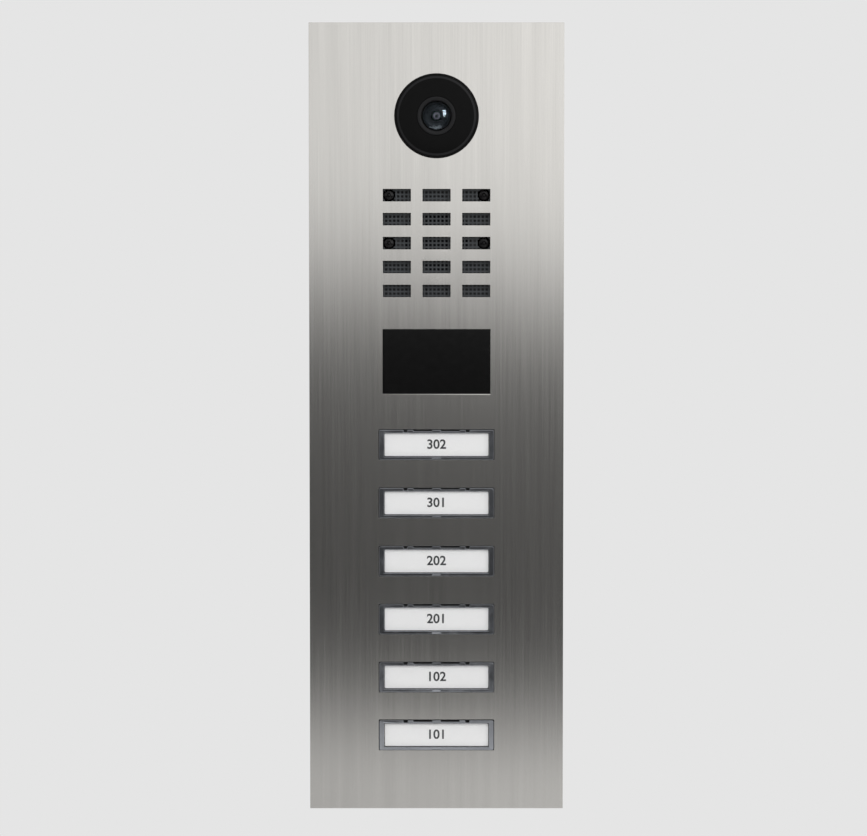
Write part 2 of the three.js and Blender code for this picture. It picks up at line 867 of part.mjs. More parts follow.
/** Side view of a hinge ear: round about the rod, with a foot on the flange. */
function earOutline() {
  const outline = new THREE.Shape();
  outline.moveTo(flangeFront + 0.2, hingeZ - earRadius);
  outline.lineTo(flangeFront + 0.2, hingeZ + earRadius);
  outline.lineTo(hingeY, hingeZ + earRadius);
  outline.absarc(hingeY, hingeZ, earRadius, Math.PI / 2, 1.5 * Math.PI);
  outline.closePath();
  return outline;
}

function backBox() {
  const flange = rectangle(
    0, (flangeTop + flangeBottom) / 2, 2 * flangeHalfWidth, flangeTop - flangeBottom, 1,
  );
  const shell = block([-boxHalfWidth, flangeFront, boxBottom], [boxHalfWidth, boxDepth, boxTop]);
  const cavity = block(
    [-mouthHalfWidth, flangeFront - 1, mouthBottom],
    [mouthHalfWidth, boxDepth - boxWall, mouthTop],
  );
  const lipHalfWidth = frameHalfWidth - tabInset + tabWidth / 2;
  const lip = block(
    [-lipHalfWidth, lipFront, boxBottom],
    [lipHalfWidth, flangeFront + 0.2, mouthBottom],
  );
  const ears = [-1, 1].map((side) => sidePlate(
    earOutline(), side * (boxHalfWidth - boxWall / 2), boxWall,
  ));
  const rodHole = pinX(hingeY, hingeZ, rodRadius + gap, 2 * boxHalfWidth + 2);
  const slotHalf = screwRadius + runGap;
  const lockSlots = [-1, 1].flatMap((side) => {
    const x = side * (frameHalfWidth - tabInset);
    return [
      block(
        [x - slotHalf, lipFront - 1, boxBottom - 1],
        [x + slotHalf, lockY, mouthBottom + 1],
      ),
      pinZ(x, lockY, slotHalf, boxBottom - 1, mouthBottom + 1),
    ];
  });
  const headRooms = [-1, 1].map((side) => pinZ(
    side * (frameHalfWidth - tabInset), lockY, screwHeadRadius + runGap, flangeBottom - 1, boxBottom,
  ));
  const fixingHoles = [-1, 1].flatMap((sideX) => [-1, 1].map((sideZ) => pinY(
    sideX * fixingHoleX, sideZ * fixingHoleZ, fixingHoleRadius, boxDepth - boxWall - 1, boxDepth + 1,
  )));
  const cableHoles = [-1, 1].map((side) => pinZ(
    side * cableHoleX, cableHoleY, cableHoleRadius, boxBottom - 1, mouthBottom + 1, 32,
  ));
  const shellAndFlange = shaped(slab(flange, flangeFront, flangeBack, { curveSegments: 2 }), {
    joined: [shell, lip],
    cut: [cavity, ...lockSlots, ...headRooms, ...fixingHoles, ...cableHoles],
  });
  return shaped(shellAndFlange, { joined: ears, cut: [rodHole] });
}

function wallSeal() {
  const middle = (flangeTop + flangeBottom) / 2;
  const outline = rectangle(0, middle, 2 * flangeHalfWidth, flangeTop - flangeBottom, 1);
  outline.holes.push(rectangle(
    0, (boxTop + boxBottom) / 2,
    2 * (boxHalfWidth + gap), boxTop - boxBottom + 2 * gap, 0, THREE.Path,
  ));
  return slab(outline, -wallSealThickness, 0, { curveSegments: 2 });
}

/** A rubber grommet: a groove for the box's bottom wall and a bore for one cable. */
function cableGrommet(side) {
  const groove = cableHoleRadius - gap;
  const flange = cableHoleRadius + grommetFlange;
  const lowFace = boxBottom - gap;
  const highFace = mouthBottom + gap;
  return turnedUpright([
    [grommetBore, lowFace - grommetFlangeThickness],
    [flange, lowFace - grommetFlangeThickness],
    [flange, lowFace],
    [groove, lowFace],
    [groove, highFace],
    [flange - 0.8, highFace],
    [flange - 0.8, highFace + grommetFlangeThickness],
    [grommetBore, highFace + grommetFlangeThickness],
    [grommetBore, lowFace - grommetFlangeThickness],
  ], side * cableHoleX, cableHoleY);
}

// ---------------------------------------------------------------- assembly

piece(frontUnit, "front_panel", frontPlate(), brushedSteel);
piece(frontUnit, "mounting_frame", mountingFrame(), zincSteel);
piece(frontUnit, "housing_seal", housingSeal(), foamRubber);
piece(frontUnit, "rear_housing", rearHousing(), blackPlastic);
piece(frontUnit, "locking_screw_1", lockingScrew(-1), boltSteel);
piece(frontUnit, "locking_screw_2", lockingScrew(1), boltSteel);

piece(frontUnit, "camera_cover", cameraCover(), blackGloss);
piece(frontUnit, "camera_lens", cameraLens(), lensGlass);
piece(frontUnit, "lens_barrel", lensBarrel(), blackPlastic);
piece(frontUnit, "camera_board", cameraBoard(), boardGreen);

piece(frontUnit, "acoustic_grille", acousticGrille(), meshMetal);
piece(frontUnit, "speaker_basket", speakerBasket(), blackPlastic);
piece(frontUnit, "speaker_cone", speakerCone(), coneFabric);
piece(frontUnit, "speaker_magnet", speakerMagnet(), magnetMetal);
piece(frontUnit, "microphone", microphone(), foamRubber);
lampPlaces.forEach(([x, z], index) => {
  piece(frontUnit, `ir_led_${index + 1}`, lamp(x, z), lampEpoxy);
});

piece(frontUnit, "reader_window", readerWindow(), blackGloss);
piece(frontUnit, "reader_antenna", readerAntenna(), boardGreen);

for (let index = 0; index < buttonCount; index += 1) {
  const z = buttonZ(index);
  const number = index + 1;
  const button = new THREE.Group();
  frontUnit.add(button);
  piece(button, `button_cap_${number}`, buttonCap(z), clearPlastic);
  piece(button, `name_label_${number}`, nameLabel(z), labelPaper);
  piece(button, `button_carrier_${number}`, buttonCarrier(z), trayPlastic);
  piece(button, `switch_plunger_${number}`, switchPlunger(z), plungerPlastic);
  piece(frontUnit, `switch_body_${number}`, switchBody(z), switchPlastic);
}

piece(frontUnit, "front_board", frontBoard(), boardGreen);
piece(frontUnit, "main_board", mainBoard(), boardGreen);
piece(frontUnit, "terminal_block", terminalBlock(), terminalGreen);
piece(frontUnit, "network_socket", networkSocket(), magnetMetal);

piece(wallUnit, "back_box", backBox(), zincSteel);
piece(wallUnit, "wall_seal", wallSeal(), foamRubber);
piece(wallUnit, "hinge_rod", pinX(hingeY, hingeZ, rodRadius, 2 * (boxHalfWidth + rodOverhang)), boltSteel);
piece(wallUnit, "cable_grommet_1", cableGrommet(-1), foamRubber);
piece(wallUnit, "cable_grommet_2", cableGrommet(1), foamRubber);

export default station;
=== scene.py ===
"""Looks of a flush-mounted door intercom panel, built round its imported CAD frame.

Every length is in metres unless its name ends in _mm. X runs to the visitor's right, +Z is up and
the front of the panel faces -Y, with the wall plane at y = 0.
"""

from __future__ import annotations

import logging
import math
from collections.abc import Callable, Iterator, Sequence
from contextlib import contextmanager
from dataclasses import dataclass
from enum import Enum
from typing import ClassVar

import bmesh
import bpy
from mathutils import Matrix, Vector

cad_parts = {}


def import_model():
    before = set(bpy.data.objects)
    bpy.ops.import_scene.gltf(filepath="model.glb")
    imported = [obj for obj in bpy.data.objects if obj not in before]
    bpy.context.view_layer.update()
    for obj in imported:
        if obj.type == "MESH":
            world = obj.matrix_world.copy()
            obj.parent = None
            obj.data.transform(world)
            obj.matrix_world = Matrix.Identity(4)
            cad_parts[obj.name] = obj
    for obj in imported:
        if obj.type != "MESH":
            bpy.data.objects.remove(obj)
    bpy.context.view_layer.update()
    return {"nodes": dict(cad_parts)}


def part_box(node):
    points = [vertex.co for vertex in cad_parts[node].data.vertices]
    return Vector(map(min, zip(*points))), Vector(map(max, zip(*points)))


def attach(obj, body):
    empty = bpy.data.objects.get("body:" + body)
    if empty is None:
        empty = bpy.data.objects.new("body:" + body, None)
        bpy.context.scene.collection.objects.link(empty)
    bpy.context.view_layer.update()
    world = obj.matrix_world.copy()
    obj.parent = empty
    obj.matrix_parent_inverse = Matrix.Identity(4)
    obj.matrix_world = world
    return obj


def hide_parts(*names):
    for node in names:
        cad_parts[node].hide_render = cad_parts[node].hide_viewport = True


log = logging.getLogger("door_intercom")

Point = tuple[float, float, float]
MM = 0.001
WALL_UNIT = "wall_unit"
FRONT_UNIT = "front_unit"
BUTTON_COUNT = 6
LAMP_COUNT = 4
BEVEL_ABOVE = math.radians(40)
SMOOTH_BELOW = math.radians(35)
WELD_DISTANCE = MM / 1000


class Side(Enum):
    """The two halves of the panel, by the sign of x."""

    LEFT = -1
    RIGHT = 1


class Axis(Enum):
    """A direction of the frame."""

    X = (1.0, 0.0, 0.0)
    Y = (0.0, 1.0, 0.0)
    Z = (0.0, 0.0, 1.0)


# ------------------------------------------------------------------------------ modelling


def select_only(piece: bpy.types.Object) -> None:
    """Leaves one object selected and active."""
    bpy.ops.object.select_all(action="DESELECT")
    piece.select_set(True)
    bpy.context.view_layer.objects.active = piece


@contextmanager
def editing(piece: bpy.types.Object) -> Iterator[bmesh.types.BMesh]:
    """Opens a piece in edit mode with nothing selected.

    Args:
        piece: the mesh object to edit.

    Yields:
        The edit mesh, for choosing edges by their direction.
    """
    select_only(piece)
    bpy.ops.object.mode_set(mode="EDIT")
    bpy.ops.mesh.select_mode(type="VERT")
    bpy.ops.mesh.select_all(action="DESELECT")
    try:
        yield bmesh.from_edit_mesh(piece.data)
    finally:
        bpy.ops.object.mode_set(mode="OBJECT")


def round_corners(piece: bpy.types.Object, radius: float, segments: int = 4) -> None:
    """Rounds a block's four corners as they show from the front.

    Args:
        piece: the block.
        radius: the corners' radius.
        segments: how many strips make a corner.
    """
    with editing(piece) as mesh:
        bpy.ops.mesh.select_mode(type="EDGE")
        for edge in mesh.edges:
            step = edge.verts[1].co - edge.verts[0].co
            edge.select_set(abs(step.y) > 0.999 * step.length)
        mesh.select_flush_mode()
        bpy.ops.mesh.bevel(offset=radius, segments=segments)


def apply_modifier(piece: bpy.types.Object, kind: str, **settings: object) -> None:
    """Adds a modifier with its settings and applies it.

    Args:
        piece: the object it works on.
        kind: the modifier type's name.
        **settings: its properties.
    """
    select_only(piece)
    modifier = piece.modifiers.new(kind.title(), kind)
    for key, value in settings.items():
        setattr(modifier, key, value)
    bpy.ops.object.modifier_apply(modifier=modifier.name)


def settle(piece: bpy.types.Object) -> None:
    """Moves a piece's place into its mesh, so that its object sits at the origin."""
    select_only(piece)
    bpy.ops.object.transform_apply(location=True, rotation=True, scale=True)


def newest(name: str) -> bpy.types.Object:
    """Names the object an operator has just added and moves its place into its mesh."""
    piece = bpy.context.active_object
    piece.name = name
    settle(piece)
    return piece


def block(name: str, low: Sequence[float], high: Sequence[float]) -> bpy.types.Object:
    """Adds a box between two corners.

    Args:
        name: the object's name.
        low: its lowest corner.
        high: its highest corner.

    Returns:
        The new object, with its place in its mesh.
    """
    bpy.ops.object.select_all(action="DESELECT")
    middle = [(a + b) / 2 for a, b in zip(low, high)]
    size = [b - a for a, b in zip(low, high)]
    bpy.ops.mesh.primitive_cube_add(size=1, location=middle, scale=size)
    return newest(name)


def rod(name: str, start: Sequence[float], axis: Axis, radius: float, length: float,
        sides: int = 48) -> bpy.types.Object:
    """Adds a round bar along an axis.

    Args:
        name: the object's name.
        start: the centre of its lower end.
        axis: the way it runs.
        radius: its radius.
        length: its length.
        sides: how many flats stand for its round.

    Returns:
        The new object, with its place in its mesh.
    """
    bpy.ops.object.select_all(action="DESELECT")
    direction = Vector(axis.value)
    turn = direction.to_track_quat("Z", "Y").to_euler()
    bpy.ops.mesh.primitive_cylinder_add(
        vertices=sides, radius=radius, depth=length,
        location=Vector(start) + direction * length / 2, rotation=turn,
    )
    return newest(name)


def turned(name: str, profile: Sequence[tuple[float, float]], centre: Sequence[float],
           axis: Axis = Axis.Y, steps: int = 64) -> bpy.types.Object:
    """Draws a profile by extruding one vertex from point to point, and spins it round an axis.

    Args:
        name: the object's name.
        profile: pairs of radius and distance along the axis, from end to end or round to the start.
        centre: a point on the axis; distances are measured from it.
        axis: the axis of the spin, Y or Z.
        steps: how many steps the spin takes.

    Returns:
        The new object, closed and facing outwards.
    """
    def place(radius: float, distance: float) -> Vector:
        return Vector(centre) + Vector((radius, 0, 0)) + Vector(axis.value) * distance

    bpy.ops.object.select_all(action="DESELECT")
    bpy.ops.mesh.primitive_plane_add(size=MM, location=place(*profile[0]))
    piece = newest(name)
    with editing(piece):
        bpy.ops.mesh.select_all(action="SELECT")
        bpy.ops.mesh.merge(type="CENTER")
        for before, after in zip(profile, profile[1:]):
            step = place(*after) - place(*before)
            bpy.ops.mesh.extrude_region_move(TRANSFORM_OT_translate={"value": step})
        bpy.ops.mesh.select_all(action="SELECT")
        bpy.ops.mesh.spin(steps=steps, angle=2 * math.pi, center=centre, axis=axis.value)
        bpy.ops.mesh.select_all(action="SELECT")
        bpy.ops.mesh.remove_doubles(threshold=WELD_DISTANCE)
        bpy.ops.mesh.normals_make_consistent(inside=False)
    return piece


def lathed(name: str, profile: Sequence[tuple[float, float]], centre: Sequence[float],
           axis: Axis = Axis.Y, steps: int = 64) -> bpy.types.Object:
    """Turns a profile, as turned does, and shades it smooth."""
    piece = turned(name, profile, centre, axis, steps)
    soften(piece, 0)
    return piece


def joined(pieces: Sequence[bpy.types.Object], name: str | None = None) -> bpy.types.Object:
    """Joins objects into the first of them, without merging their meshes, and may rename it."""
    select_only(pieces[0])
    for piece in pieces[1:]:
        piece.select_set(True)
    if len(pieces) > 1:
        bpy.ops.object.join()
    if name:
        pieces[0].name = name
    return pieces[0]


def cut(piece: bpy.types.Object, tools: Sequence[bpy.types.Object]) -> None:
    """Cuts tools that stay clear of each other from a piece, all at once, and uses them up."""
    tool = joined(tools)
    apply_modifier(piece, "BOOLEAN", operation="DIFFERENCE", object=tool, solver="EXACT")
    bpy.data.objects.remove(tool)


def soften(piece: bpy.types.Object, width: float, segments: int = 2) -> None:
    """Rounds a piece's sharp edges and shades the rest smooth, with its flat faces kept flat.

    Args:
        piece: the object to finish.
        width: the width of the rounding.
        segments: how many strips make it.
    """
    if width > 0:
        apply_modifier(piece, "BEVEL", width=width, segments=segments, limit_method="ANGLE",
                       angle_limit=BEVEL_ABOVE, use_clamp_overlap=True, miter_outer="MITER_ARC")
    select_only(piece)
    bpy.ops.object.shade_smooth_by_angle(angle=SMOOTH_BELOW)
    apply_modifier(piece, "WEIGHTED_NORMAL", mode="FACE_AREA", weight=100, keep_sharp=True)


def lettering(name: str, words: str, height: float, centre: Point,
              depth: float) -> bpy.types.Object:
    """Makes upright raised figures that face -Y.

    Args:
        name: the object's name.
        words: the figures.
        height: the font's size.
        centre: where their middle lies, on their back.
        depth: how thick they are.

    Returns:
        The figures as a mesh, with their place in it.
    """
    bpy.ops.object.select_all(action="DESELECT")
    bpy.ops.object.text_add(location=(0, 0, 0))
    piece = bpy.context.active_object
    piece.name = name
    piece.data.body = words
    piece.data.size = height
    piece.data.align_x = "CENTER"
    piece.data.align_y = "CENTER"
    piece.data.extrude = depth / 2
    piece.data.resolution_u = 6
    piece.data.offset = 0.02 * height
    bpy.ops.object.convert(target="MESH")
    piece.matrix_world = Matrix.Translation(centre) @ Matrix.Rotation(math.pi / 2, 4, "X")
    settle(piece)
    return piece


# ------------------------------------------------------------------------------ materials


def colour(code: str) -> tuple[float, float, float, float]:
    """Turns an sRGB hex colour such as #a0b0c0 into the linear colour that nodes take."""
    channels = [int(code[start:start + 2], 16) / 255 for start in (1, 3, 5)]
    linear = [c / 12.92 if c <= 0.04045 else ((c + 0.055) / 1.055) ** 2.4 for c in channels]
    return (*linear, 1.0)


def add_node(tree: bpy.types.NodeTree, kind: str, settings: dict[str, object] | None = None,
             inputs: dict[str | int, object] | None = None) -> bpy.types.Node:
    """Adds a shader node.

    Args:
        tree: the material's node tree.
        kind: the node's type name, without the ShaderNode in front.
        settings: its properties.
        inputs: for each input by name or number, a value to set or an output to link.

    Returns:
        The new node.
    """
    node = tree.nodes.new("ShaderNode" + kind)
    for key, value in (settings or {}).items():
        setattr(node, key, value)
    for key, value in (inputs or {}).items():
        if isinstance(value, bpy.types.NodeSocket):
            tree.links.new(value, node.inputs[key])
        else:
            node.inputs[key].default_value = value
    return node


def new_material(name: str) -> tuple[bpy.types.Material, bpy.types.NodeTree]:
    """Makes an empty node material and returns it with its tree."""
    material = bpy.data.materials.new(name)
    material.use_nodes = True
    material.node_tree.nodes.clear()
    return material, material.node_tree


def close_tree(tree: bpy.types.NodeTree, shader: bpy.types.Node) -> None:
    """Links a shader node to the material's output."""
    add_node(tree, "OutputMaterial", inputs={"Surface": shader.outputs[0]})


def stretched_noise(tree: bpy.types.NodeTree, grain_mm: Point, detail: float = 3.0,
                    roughness: float = 0.6) -> bpy.types.NodeSocket:
    """A noise whose grain has a real size along each axis.

    Args:
        tree: the material's node tree.
        grain_mm: the grain's size along X, Y and Z, in millimetres.
        detail: how many finer layers it has.
        roughness: how strong the finer layers are.

    Returns:
        The noise as a number from 0 to 1.
    """
    place = add_node(tree, "TexCoord").outputs["Object"]
    scale = tuple(1 / (size * MM) for size in grain_mm)
    mapped = add_node(tree, "Mapping", inputs={"Vector": place, "Scale": scale})
    noise = add_node(tree, "TexNoise", inputs={
        "Vector": mapped.outputs["Vector"], "Scale": 1.0, "Detail": detail, "Roughness": roughness,
    })
    return noise.outputs[0]


def ramp(tree: bpy.types.NodeTree, factor: bpy.types.NodeSocket,
         stops: Sequence[tuple[float, tuple[float, float, float, float]]],
         interpolation: str = "LINEAR") -> bpy.types.NodeSocket:
    """Turns a number into a colour by a row of stops.

    Args:
        tree: the material's node tree.
        factor: the number.
        stops: pairs of position and linear colour, in order.
        interpolation: how colours run between stops.

    Returns:
        The colour.
    """
    node = add_node(tree, "ValToRGB", inputs={0: factor})
    band = node.color_ramp
    band.interpolation = interpolation
    while len(band.elements) < len(stops):
        band.elements.new(1.0)
    for element, (position, value) in zip(band.elements, stops):
        element.position = position
        element.color = value
    return node.outputs["Color"]


def fit_range(tree: bpy.types.NodeTree, value: bpy.types.NodeSocket, low: float,
              high: float) -> bpy.types.NodeSocket:
    """Spreads a noise's middle part, 0.3 to 0.7, over a range."""
    node = add_node(tree, "MapRange", inputs={
        "Value": value, "From Min": 0.3, "From Max": 0.7, "To Min": low, "To Max": high,
    })
    return node.outputs["Result"]


def relief(tree: bpy.types.NodeTree, height: bpy.types.NodeSocket,
           depth_mm: float) -> bpy.types.NodeSocket:
    """Turns a height from 0 to 1 into a normal.

    Args:
        tree: the material's node tree.
        height: the height.
        depth_mm: how deep the relief is, in millimetres.

    Returns:
        The changed normal.
    """
    node = add_node(tree, "Bump", inputs={
        "Height": height, "Distance": depth_mm * MM, "Strength": 1.0,
    })
    return node.outputs["Normal"]


class Finish:
    """A procedural material: each kind has a name and builds its own shader."""

    name: str

    def shader(self, tree: bpy.types.NodeTree) -> bpy.types.Node:
        """Builds the shader node."""
        raise NotImplementedError

    def material(self) -> bpy.types.Material:
        """Builds the material."""
        material, tree = new_material(self.name)
        close_tree(tree, self.shader(tree))
        return material


@dataclass(frozen=True)
class BrushedStainless(Finish):
    """Stainless steel, belt-ground along the plate's height: long fine lines, smeared gloss."""

    name: str = "brushed_stainless"
    light: str = "#dad8d4"
    shade: str = "#c9c7c3"
    roughness: float = 0.19
    anisotropy: float = 0.85
    line_mm: float = 0.35
    line_length_mm: float = 70.0

    def shader(self, tree: bpy.types.NodeTree) -> bpy.types.Node:
        """Builds the shader node."""
        fine = stretched_noise(tree, (self.line_mm, self.line_mm, self.line_length_mm), 4.0, 0.7)
        broad = stretched_noise(tree, (6.0, 6.0, 160.0), 2.0)
        mixed = add_node(tree, "Mix", {"data_type": "FLOAT"}, {0: 0.45, 2: fine, 3: broad})
        tone = ramp(tree, mixed.outputs[0], [(0.3, colour(self.shade)), (0.7, colour(self.light))])
        tangent = add_node(tree, "Tangent", {"direction_type": "RADIAL", "axis": "Z"})
        return add_node(tree, "BsdfPrincipled", inputs={
            "Base Color": tone,
            "Metallic": 1.0,
            "Roughness": fit_range(tree, fine, self.roughness - 0.02, self.roughness + 0.02),
            "Anisotropic": self.anisotropy,
            "Tangent": tangent.outputs["Tangent"],
            "Normal": relief(tree, fine, 0.0004),
        })


def mottled(tree: bpy.types.NodeTree, finish: RolledMetal | MouldedPlastic, mottle_mm: float,
            spread: float, inputs: dict[str, object]) -> bpy.types.Node:
    """Builds a shader whose colour and gloss vary in soft clouds over a fine grain.

    Args:
        tree: the material's node tree.
        finish: the colours, the roughness and the grain.
        mottle_mm: the clouds' size.
        spread: how far the roughness strays from its middle.
        inputs: the shader's other inputs.

    Returns:
        The shader node.
    """
    mottle = stretched_noise(tree, (mottle_mm,) * 3, 3.0)
    grain = stretched_noise(tree, (finish.grain_mm,) * 3, 2.0)
    tone = ramp(tree, mottle, [(0.35, colour(finish.shade)), (0.65, colour(finish.light))])
    return add_node(tree, "BsdfPrincipled", inputs={
        "Base Color": tone,
        "Roughness": fit_range(tree, mottle, finish.roughness - spread, finish.roughness + spread),
        "Normal": relief(tree, grain, finish.depth_mm),
        **inputs,
    })


@dataclass(frozen=True)
class RolledMetal(Finish):
    """Plated or bright metal: even colour with a faint cloud and a fine grain."""

    name: str
    light: str
    shade: str
    roughness: float
    cloud_mm: float = 9.0
    grain_mm: float = 0.25
    depth_mm: float = 0.002

    def shader(self, tree: bpy.types.NodeTree) -> bpy.types.Node:
        """Builds the shader node."""
        return mottled(tree, self, self.cloud_mm, 0.06, {"Metallic": 1.0})


@dataclass(frozen=True)
class GalvanisedSheet(Finish):
    """Hot-dip galvanised sheet: zinc crystals of several millimetres, each with its own grey."""

    name: str = "galvanised_sheet"
    light: str = "#b1b4b6"
    shade: str = "#9da1a4"
    roughness: float = 0.4
    crystal_mm: float = 7.0

    def shader(self, tree: bpy.types.NodeTree) -> bpy.types.Node:
        """Builds the shader node."""
        place = add_node(tree, "TexCoord").outputs["Object"]
        warp = add_node(tree, "TexNoise", inputs={"Vector": place, "Scale": 1 / (9 * MM)})
        bent = add_node(tree, "VectorMath", {"operation": "MULTIPLY_ADD"}, {
            0: warp.outputs["Color"], 1: (4 * MM,) * 3, 2: place,
        })
        crystals = add_node(tree, "TexVoronoi", inputs={
            "Vector": bent.outputs[0], "Scale": 1 / (self.crystal_mm * MM),
        })
        each = add_node(tree, "SeparateXYZ", inputs={0: crystals.outputs["Color"]})
        tone = ramp(tree, each.outputs[0], [(0.1, colour(self.shade)), (0.9, colour(self.light))])
        grain = stretched_noise(tree, (0.5,) * 3, 2.0)
        return add_node(tree, "BsdfPrincipled", inputs={
            "Base Color": tone,
            "Metallic": 1.0,
            "Roughness": fit_range(tree, each.outputs[1], self.roughness - 0.05,
                                   self.roughness + 0.05),
            "Normal": relief(tree, grain, 0.004),
        })


@dataclass(frozen=True)
class MouldedPlastic(Finish):
    """An opaque plastic or rubber: base colour with a slight mottle and a moulded grain."""

    name: str
    light: str
    shade: str
    roughness: float
    ior: float = 1.53
    specular: float = 0.5
    grain_mm: float = 0.4
    depth_mm: float = 0.006
    mottle_mm: float = 3.0

    def shader(self, tree: bpy.types.NodeTree) -> bpy.types.Node:
        """Builds the shader node."""
        return mottled(tree, self, self.mottle_mm, 0.04, {
            "IOR": self.ior, "Specular IOR Level": self.specular,
        })


@dataclass(frozen=True)
class ClearPane(Finish):
    """A polished clear pane or lens: see-through, a faint tint, gloss on its outside."""

    name: str = "clear_polycarbonate"
    tint: str = "#fdfdfd"
    gloss: str = "#ffffff"
    ior: float = 1.585
    roughness: float = 0.04

    def shader(self, tree: bpy.types.NodeTree) -> bpy.types.Node:
        """Builds the shader node."""
        wave = stretched_noise(tree, (4.0,) * 3, 1.0)
        normal = relief(tree, wave, 0.002)
        through = add_node(tree, "BsdfTransparent", inputs={"Color": colour(self.tint)})
        mirror = add_node(tree, "BsdfGlossy", inputs={
            "Color": colour(self.gloss), "Roughness": self.roughness, "Normal": normal,
        })
        edge = add_node(tree, "Fresnel", inputs={"IOR": self.ior, "Normal": normal})
        side = add_node(tree, "NewGeometry").outputs["Backfacing"]
        outside = add_node(tree, "Math", {"operation": "SUBTRACT"}, {0: 1.0, 1: side})
        gloss = add_node(tree, "Math", {"operation": "MULTIPLY"}, {
            0: edge.outputs[0], 1: outside.outputs[0],
        })
        return add_node(tree, "MixShader", inputs={
            0: gloss.outputs[0], 1: through.outputs[0], 2: mirror.outputs[0],
        })


@dataclass(frozen=True)
class LabelPaper(Finish):
    """White label card: matt, with a trace of fibre."""

    name: str = "label_card"
    light: str = "#efefef"
    shade: str = "#ebebeb"
    roughness: float = 0.75
    fibre_mm: float = 0.5

    def shader(self, tree: bpy.types.NodeTree) -> bpy.types.Node:
        """Builds the shader node."""
        fibre = stretched_noise(tree, (self.fibre_mm * 3, self.fibre_mm, self.fibre_mm), 4.0)
        tone = ramp(tree, fibre, [(0.3, colour(self.shade)), (0.7, colour(self.light))])
        return add_node(tree, "BsdfPrincipled", inputs={
            "Base Color": tone,
            "Roughness": self.roughness,
            "IOR": 1.5,
            "Normal": relief(tree, fibre, 0.004),
        })


@dataclass(frozen=True)
class CircuitBoard(Finish):
    """Solder mask over glass epoxy: copper tracks just show as lighter lines."""

    name: str = "solder_mask"
    mask: str = "#14502f"
    track: str = "#1f6a3d"
    track_mm: float = 1.6

    def shader(self, tree: bpy.types.NodeTree) -> bpy.types.Node:
        """Builds the shader node."""
        place = add_node(tree, "TexCoord").outputs["Object"]
        cells = add_node(tree, "TexVoronoi", {"distance": "MANHATTAN", "feature": "F1"}, {
            "Vector": place, "Scale": 1 / (self.track_mm * 2 * MM),
        })
        tone = ramp(tree, cells.outputs["Distance"], [
            (0.42, colour(self.mask)), (0.5, colour(self.track)),
        ], "CONSTANT")
        return add_node(tree, "BsdfPrincipled", inputs={
            "Base Color": tone,
            "Roughness": 0.35,
            "IOR": 1.5,
            "Normal": relief(tree, cells.outputs["Distance"], 0.02),
        })


class Finishes:
    """Every material of the panel, made once and shared."""

    def __init__(self) -> None:
        """Builds the materials."""
        self.front = BrushedStainless().material()
        self.galvanised = GalvanisedSheet().material()
        self.bright = RolledMetal("turned_stainless", "#c9c8c5", "#bdbcb9", 0.25, 4.0).material()
        self.plated = RolledMetal("plated_steel", "#a6a7a9", "#97989a", 0.3, 5.0).material()
        self.wire = MouldedPlastic("coated_mesh", "#3c3f42", "#36393c", 0.55, 1.5, 0.5,
                                   0.3, 0.01).material()
        self.cover = MouldedPlastic("camera_acrylic", "#0d0d0d", "#0b0b0b", 0.16, 1.49, 0.06,
                                    0.3, 0.0006).material()
        self.lens_ring = MouldedPlastic("lens_ring_abs", "#1b1b1c", "#19191a", 0.45, 1.53, 0.15,
                                        0.2, 0.002).material()
        self.bowl = MouldedPlastic("lens_bowl_abs", "#06080a", "#050608", 0.2, 1.53, 0.22,
                                   0.5, 0.001).material()
        self.copper = RolledMetal("plated_copper", "#c58a5c", "#b57b4e", 0.3, 2.0).material()
        self.window = MouldedPlastic("window_acrylic", "#0b0b0b", "#090909", 0.06, 1.49, 0.35,
                                     8.0, 0.002).material()
        self.glass = ClearPane("coated_lens_glass", "#f4f8fb", "#737c85", 1.6, 0.04).material()
        self.iris = RolledMetal("iris_blades", "#8f8a90", "#7d787e", 0.35, 1.0).material()
        self.housing = MouldedPlastic("black_abs", "#1b1c1e", "#151618", 0.5).material()
        self.rim = RolledMetal("cap_rim", "#b4b7bd", "#aeb1b7", 0.1, 5.0, 6.0, 0.0).material()
        self.tray = MouldedPlastic("dark_tray", "#303134", "#28292b", 0.45).material()
        self.pane = ClearPane().material()
        self.paper = LabelPaper().material()
        self.ink = MouldedPlastic("printed_ink", "#3f4042", "#38393b", 0.6, 1.5, 0.3).material()
        self.lamp = MouldedPlastic("infrared_epoxy", "#0a080a", "#070607", 0.12, 1.55, 0.25,
                                   1.0, 0.0).material()
        self.foam = MouldedPlastic("foam_rubber", "#26272a", "#1a1b1d", 0.85, 1.5, 0.3,
                                   0.7, 0.05, 1.0).material()
        self.rubber = MouldedPlastic("moulded_rubber", "#202123", "#1a1b1d", 0.6, 1.52, 0.4,
                                     0.5, 0.01).material()
        self.cone = MouldedPlastic("pressed_paper", "#1d1e21", "#141518", 0.9, 1.5, 0.2,
                                   0.6, 0.03, 1.5).material()
        self.board = CircuitBoard().material()
        self.front_board = CircuitBoard("black_solder_mask", "#0a0b0b", "#101212").material()
        self.terminal = MouldedPlastic("green_polyamide", "#2f9a52", "#298747", 0.45).material()
        self.acetal = MouldedPlastic("natural_acetal", "#ddd8c8", "#d2ccbb", 0.45, 1.48).material()


# ------------------------------------------------------------------------------ the CAD frame


